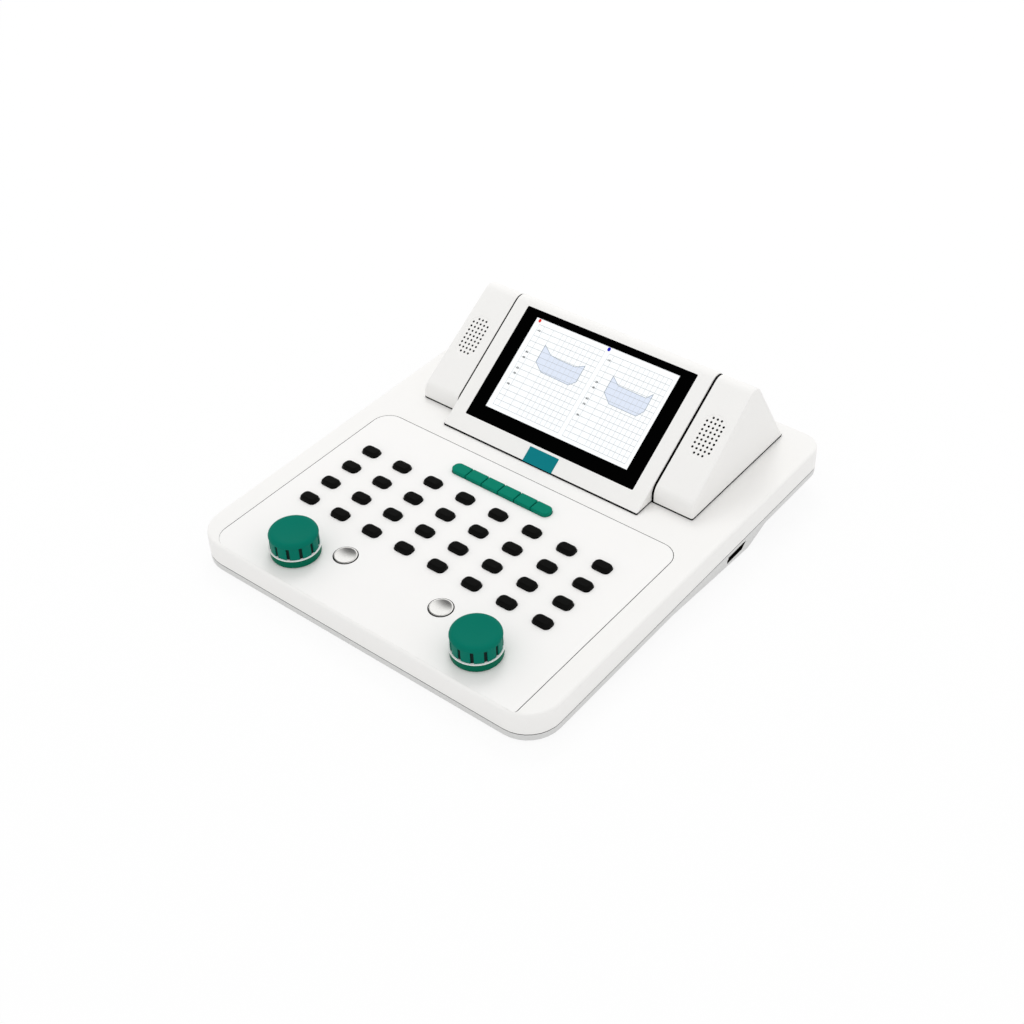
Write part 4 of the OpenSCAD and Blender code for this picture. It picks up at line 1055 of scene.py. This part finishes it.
key_rings = block(KEY_W, KEY_D, KEY_R, KEY_LEVELS, 7)
for row in range(1, 5):
    for column in range(1, 9):
        node = f"key_r{row}_c{column}"
        low, high = level_box(node)
        middle = ((low[0] + high[0]) / 2, (low[1] + high[1]) / 2, 0)
        cap = make(f"cap_r{row}_c{column}", solid(key_rings + middle), key_black)
        finish(cap, body=node, stands_for=[node])
print("key caps:", 32, "of", len(cap.data.polygons), "faces")

# %% [markdown]
# ## Function keys
# The six function keys are one strip with round ends, parted by fine gaps. The two end keys
# have wide corners on their outer side only, so the outline takes a radius for each corner.

# %% Function keys
FN_COUNT, FN_W, FN_D, FN_R, FN_SMALL_R = 6, 16.5, 11.5, 5, 0.5
FN_LEVELS = [(0, CAP_FOOT), (0, 2.7), (0.05, 2.95), (0.22, 3.2), (0.5, 3.38), (0.9, 3.5)]
for i in range(1, FN_COUNT + 1):
    node = f"function_key_{i}"
    left_r = FN_R if i == 1 else FN_SMALL_R
    right_r = FN_R if i == FN_COUNT else FN_SMALL_R
    low, high = level_box(node)
    middle = ((low[0] + high[0]) / 2, (low[1] + high[1]) / 2, 0)
    rings = block(FN_W, FN_D, (left_r, right_r, right_r, left_r), FN_LEVELS) + middle
    finish(make(f"function_cap_{i}", solid(rings), key_teal), body=node,
           stands_for=[node])

# %% [markdown]
# ## Turned pieces
# Knobs and steel buttons are turned shapes: a profile of radius and height goes round an axis.
# The angles are given too, because the knob's flutes need points exactly on their walls.

# %% Turned pieces
def turned(profile, middle, angles, cut=0.0, notch=None):
    """Rings of a turned shape: at (r, z, n) a point is middle + (R cos a, R sin a, z), with
    R = r - n cut notch(a), so n = 1 lets the flutes cut in and n = 0 leaves the ring round."""
    r, z, n = np.asarray(profile, float).T[..., None]
    depth = cut * (notch if notch is not None else np.zeros(len(angles)))
    radius = r - n * depth
    return np.stack([middle[0] + radius * np.cos(angles), middle[1] + radius * np.sin(angles),
                     np.broadcast_to(z + middle[2], radius.shape)], -1)


def plain(profile):
    """A profile without flutes: (r, z) becomes (r, z, 0)."""
    return [(r, z, 0) for r, z in profile]


ROUND = np.linspace(0, 2 * np.pi, 72, endpoint=False)

# %% Steel tone buttons
TONE_R, TONE_H, TONE_RIM, TONE_DISH = 9.7, 0.7, 1.2, 0.5
dish_r = np.linspace(TONE_R - TONE_RIM, 0.8, 9)
dish_z = TONE_H - TONE_DISH * (1 - (dish_r / dish_r[0]) ** 2)
TONE_PROFILE = ([(TONE_R, CAP_FOOT), (TONE_R, TONE_H - 0.3), (TONE_R - 0.09, TONE_H - 0.09),
                 (TONE_R - 0.3, TONE_H), (TONE_R - TONE_RIM + 0.25, TONE_H)]
                + np.stack([dish_r, dish_z], -1).tolist())
GAP_SHADE_PROFILE = [(9.78, -1.5), (9.78, 0.12), (9.9, 0.2), (10.35, 0.2), (10.5, 0.1), (10.5, -1.5)]

for side in ("left", "right"):
    node = "tone_button_" + side
    low, high = level_box(node)
    middle = np.array([(low[0] + high[0]) / 2, (low[1] + high[1]) / 2, 0])
    steel = turned_steel("turned_steel_" + side, stand(middle))
    button = make("steel_button_" + side, solid(turned(plain(TONE_PROFILE), middle, ROUND)),
                  steel)
    finish(button, body=node, stands_for=[node])
    # A black ring in the gap round each button: painted shade, standing in for the shadow in the
    # gap
    shade_ring = make("button_gap_painted_shade_" + side, solid(turned(plain(GAP_SHADE_PROFILE), middle, ROUND),
                                             wrap=True), gap_shade_black)
    finish(shade_ring)

# %% [markdown]
# ## Knobs
# A knob is three mouldings: a plain skirt, a thin pale ring that stands out a little, and a cap
# with twelve flutes and a soft crown with a shallow dish. The flutes stop under a small lip.

# %% Knobs
FLUTES, FLUTE_W, FLUTE_CUT = 12, 2.7, 1.0
BAND_R, CROWN_R, KNOB_H = 20.0, 3.5, 23.0
LIP_R, LIP_Z = 20.3, 19.5
HOLLOW_R, HOLLOW_DEPTH = 15.0, 0.6
half_flute = FLUTE_W / 2 / BAND_R
wall_step = 0.03 / BAND_R
pitch = 2 * np.pi / FLUTES
one_flute = np.concatenate([[-half_flute - wall_step, -half_flute, 0, half_flute,
                             half_flute + wall_step],
                            np.linspace(half_flute, pitch - half_flute, 8)[1:-1]])
one_notch = np.array([0, 1, 1, 1, 0] + [0] * 6)
flute_angles = (np.arange(FLUTES)[:, None] * pitch + one_flute).ravel()
flute_notch = np.tile(one_notch, FLUTES)

crown_a = np.radians(np.linspace(0, 90, 9))
crown = np.stack([LIP_R - CROWN_R * (1 - np.cos(crown_a)),
                  LIP_Z + CROWN_R * np.sin(crown_a)], -1).tolist()
hollow_r = np.linspace(HOLLOW_R, 1.0, 8)
hollow = np.stack([hollow_r, KNOB_H - HOLLOW_DEPTH * (1 - (hollow_r / HOLLOW_R) ** 2)],
                  -1).tolist()
SKIRT_PROFILE = [(12, 0.5), (20.2, 0.5), (20.5, 0.65), (20.6, 1.0), (20.6, 7.1), (20.45, 7.5),
                 (12, 7.5)]
RING_PROFILE = [(17, 7.55), (21.05, 7.55), (21.25, 7.65), (21.3, 7.9), (21.25, 8.2),
                (21.05, 8.3), (17, 8.3)]
CAP_PROFILE = ([(17, 8.2, 0), (BAND_R, 8.2, 1), (BAND_R, 19.2, 1), (BAND_R, 19.25, 0),
                (LIP_R - 0.05, 19.4, 0)] + plain(crown + hollow))

LINING_R = (BAND_R - FLUTE_CUT - 0.4, BAND_R - FLUTE_CUT + 0.12)
LINING_Z = (8.25, 19.22)


def flute_linings(middle):
    """One thin curved plate on the floor of each flute: a ring of four corners at each angle
    across it, (r cos a, r sin a), from LINING_R's inner to its outer radius."""
    spread = np.linspace(-half_flute, half_flute, 5)
    r = np.array([LINING_R[0], LINING_R[1], LINING_R[1], LINING_R[0]])
    z = np.array([LINING_Z[0], LINING_Z[0], LINING_Z[1], LINING_Z[1]])
    a = (pitch * np.arange(FLUTES)[:, None] + spread)[..., None]
    plates = np.stack([r * np.cos(a), r * np.sin(a), np.broadcast_to(z, (*a.shape[:2], 4))], -1)
    return together([solid(plate) for plate in plates + middle])


for side, x in (("left", KNOB_LEFT_X), ("right", KNOB_RIGHT_X)):
    node = "knob_" + side
    middle = (x, KNOB_Y, 0)
    cap = make("knob_cap_" + side, solid(turned(CAP_PROFILE, middle, flute_angles, FLUTE_CUT,
                                                flute_notch)), knob_teal)
    finish(cap, body=node, stands_for=[node])
    # The skirt's deeper green is painted shade for the shadow under the ring
    skirt = make("knob_skirt_" + side, solid(turned(plain(SKIRT_PROFILE), middle, ROUND)),
                 skirt_teal_painted_shade)
    finish(skirt, body=node)
    linings = make("knob_flute_linings_" + side, flute_linings(middle), flute_dark)
    finish(linings, body=node)
    ring = make("knob_ring_" + side, solid(turned(plain(RING_PROFILE), middle, ROUND),
                                           wrap=True), ring_white)
    finish(ring, body=node)
print("knob cap:", len(cap.data.polygons), "faces")

# %% [markdown]
# ## The CAD pieces that stay
# The control panel, the feet, screws and sockets have the right shape already. They only get
# their material.

# %% Materials for CAD pieces
KEPT = {"control_panel": panel_white, "rubber_feet": foot_rubber, "case_screws": zinc,
        "audio_sockets": socket_black, "side_socket": socket_black, "key_mat": mat_grey,
        "key_board": board_green, "main_board": board_green, "rotary_encoders": die_cast,
        "loudspeakers": cone_black_and_hole_shade, "lcd_module": frame_grey}
for node, material in KEPT.items():
    for slot in NODES[node].material_slots:
        slot.material = material

# %% [markdown]
# ## Floor, light and background
# The object stands on a plain white floor under soft light: an even sky, and one large lamp
# high behind on the left that gives the tops their brightness and the sides a little less. The
# camera sees floor and sky as white, while the floor still takes a faint shadow. In mirrors the
# sky is white near the horizon and darker overhead and on the left, as in a studio with a dark
# ceiling, so the dished steel buttons show one dark and one bright side.

# %% Floor
FLOOR_SIZE = 30.0
FLOOR_GLOW = 0.9
floor_mesh = bpy.data.meshes.new("floor")
half = FLOOR_SIZE / 2
floor_mesh.from_pydata([(-half, -half, 0), (half, -half, 0), (half, half, 0), (-half, half, 0)],
                       [], [(0, 1, 2, 3)])
floor = bpy.data.objects.new("floor", floor_mesh)
bpy.context.scene.collection.objects.link(floor)

floor_white, floor_tree = blank("seamless_paper_white")
paper = add(floor_tree, "BsdfDiffuse", {"Color": linear("#F4F4F4")})
glow = add(floor_tree, "Emission", {"Color": (1, 1, 1, 1), "Strength": 1.0})
seen_by = add(floor_tree, "LightPath")
glossy_too = add(floor_tree, "Math", {0: seen_by.outputs["Is Camera Ray"],
                                      1: seen_by.outputs["Is Glossy Ray"]}, operation="ADD")
share = add(floor_tree, "Math", {0: glossy_too.outputs[0], 1: FLOOR_GLOW}, operation="MULTIPLY")
floor_shader = add(floor_tree, "MixShader", {0: share.outputs[0], 1: paper.outputs[0],
                                             2: glow.outputs[0]})
close(floor_tree, floor_shader)
floor_mesh.materials.append(floor_white)

# %% Sky and lamp
SKY = 0.945
LAMP_PLACE, LAMP_SIZE, LAMP_WATTS = (-0.82, 1.12, 2.2), 0.9, 12.0
GLOSS_BRIGHT, GLOSS_DARK, GLOSS_LEAST, GLOSS_LEFT = 1.05, 1.13, 0.1, -0.7
world = bpy.data.worlds.new("studio")
bpy.context.scene.world = world
world.use_nodes = True
sky_tree = world.node_tree
sky_tree.nodes.clear()
ray = add(sky_tree, "LightPath")
looks = add(sky_tree, "TexCoord").outputs["Generated"]
ways = add(sky_tree, "SeparateXYZ", {0: looks}).outputs
height = add(sky_tree, "Math", {0: ways["X"], 1: GLOSS_LEFT, 2: ways["Z"]},
             operation="MULTIPLY_ADD")
mirrored = add(sky_tree, "MapRange", {"Value": height.outputs[0], "From Min": GLOSS_BRIGHT,
                                      "From Max": GLOSS_DARK, "To Min": 1.0,
                                      "To Max": GLOSS_LEAST})
lighting = add(sky_tree, "MapRange", {"Value": ray.outputs["Is Glossy Ray"], "To Min": SKY,
                                      "To Max": mirrored.outputs[0]})
straight = add(sky_tree, "Math", {0: ray.outputs["Is Camera Ray"],
                                  1: ray.outputs["Is Transmission Ray"]},
               operation="ADD", use_clamp=True)
strength = add(sky_tree, "MapRange", {"Value": straight.outputs[0],
                                      "To Min": lighting.outputs[0], "To Max": 1.0})
sky = add(sky_tree, "Background", {"Color": (1, 1, 1, 1), "Strength": strength.outputs[0]})
add(sky_tree, "OutputWorld", {"Surface": sky.outputs[0]})


def lamp(name, place, target, size, power):
    """A square area lamp at place that points at target; no mirror shows it."""
    data = bpy.data.lights.new(name, "AREA")
    data.size, data.energy = size, power
    light = bpy.data.objects.new(name, data)
    light.location = place
    light.visible_glossy = False
    towards = np.asarray(target, float) - np.asarray(place, float)
    light.rotation_euler = (math.atan2(math.hypot(*towards[:2]), -towards[2]), 0,
                            math.atan2(-towards[0], towards[1]))
    bpy.context.scene.collection.objects.link(light)
    return light


lamp("window", LAMP_PLACE, (0, 0, 0), LAMP_SIZE, LAMP_WATTS)
bpy.context.scene.view_settings.view_transform = "Standard"
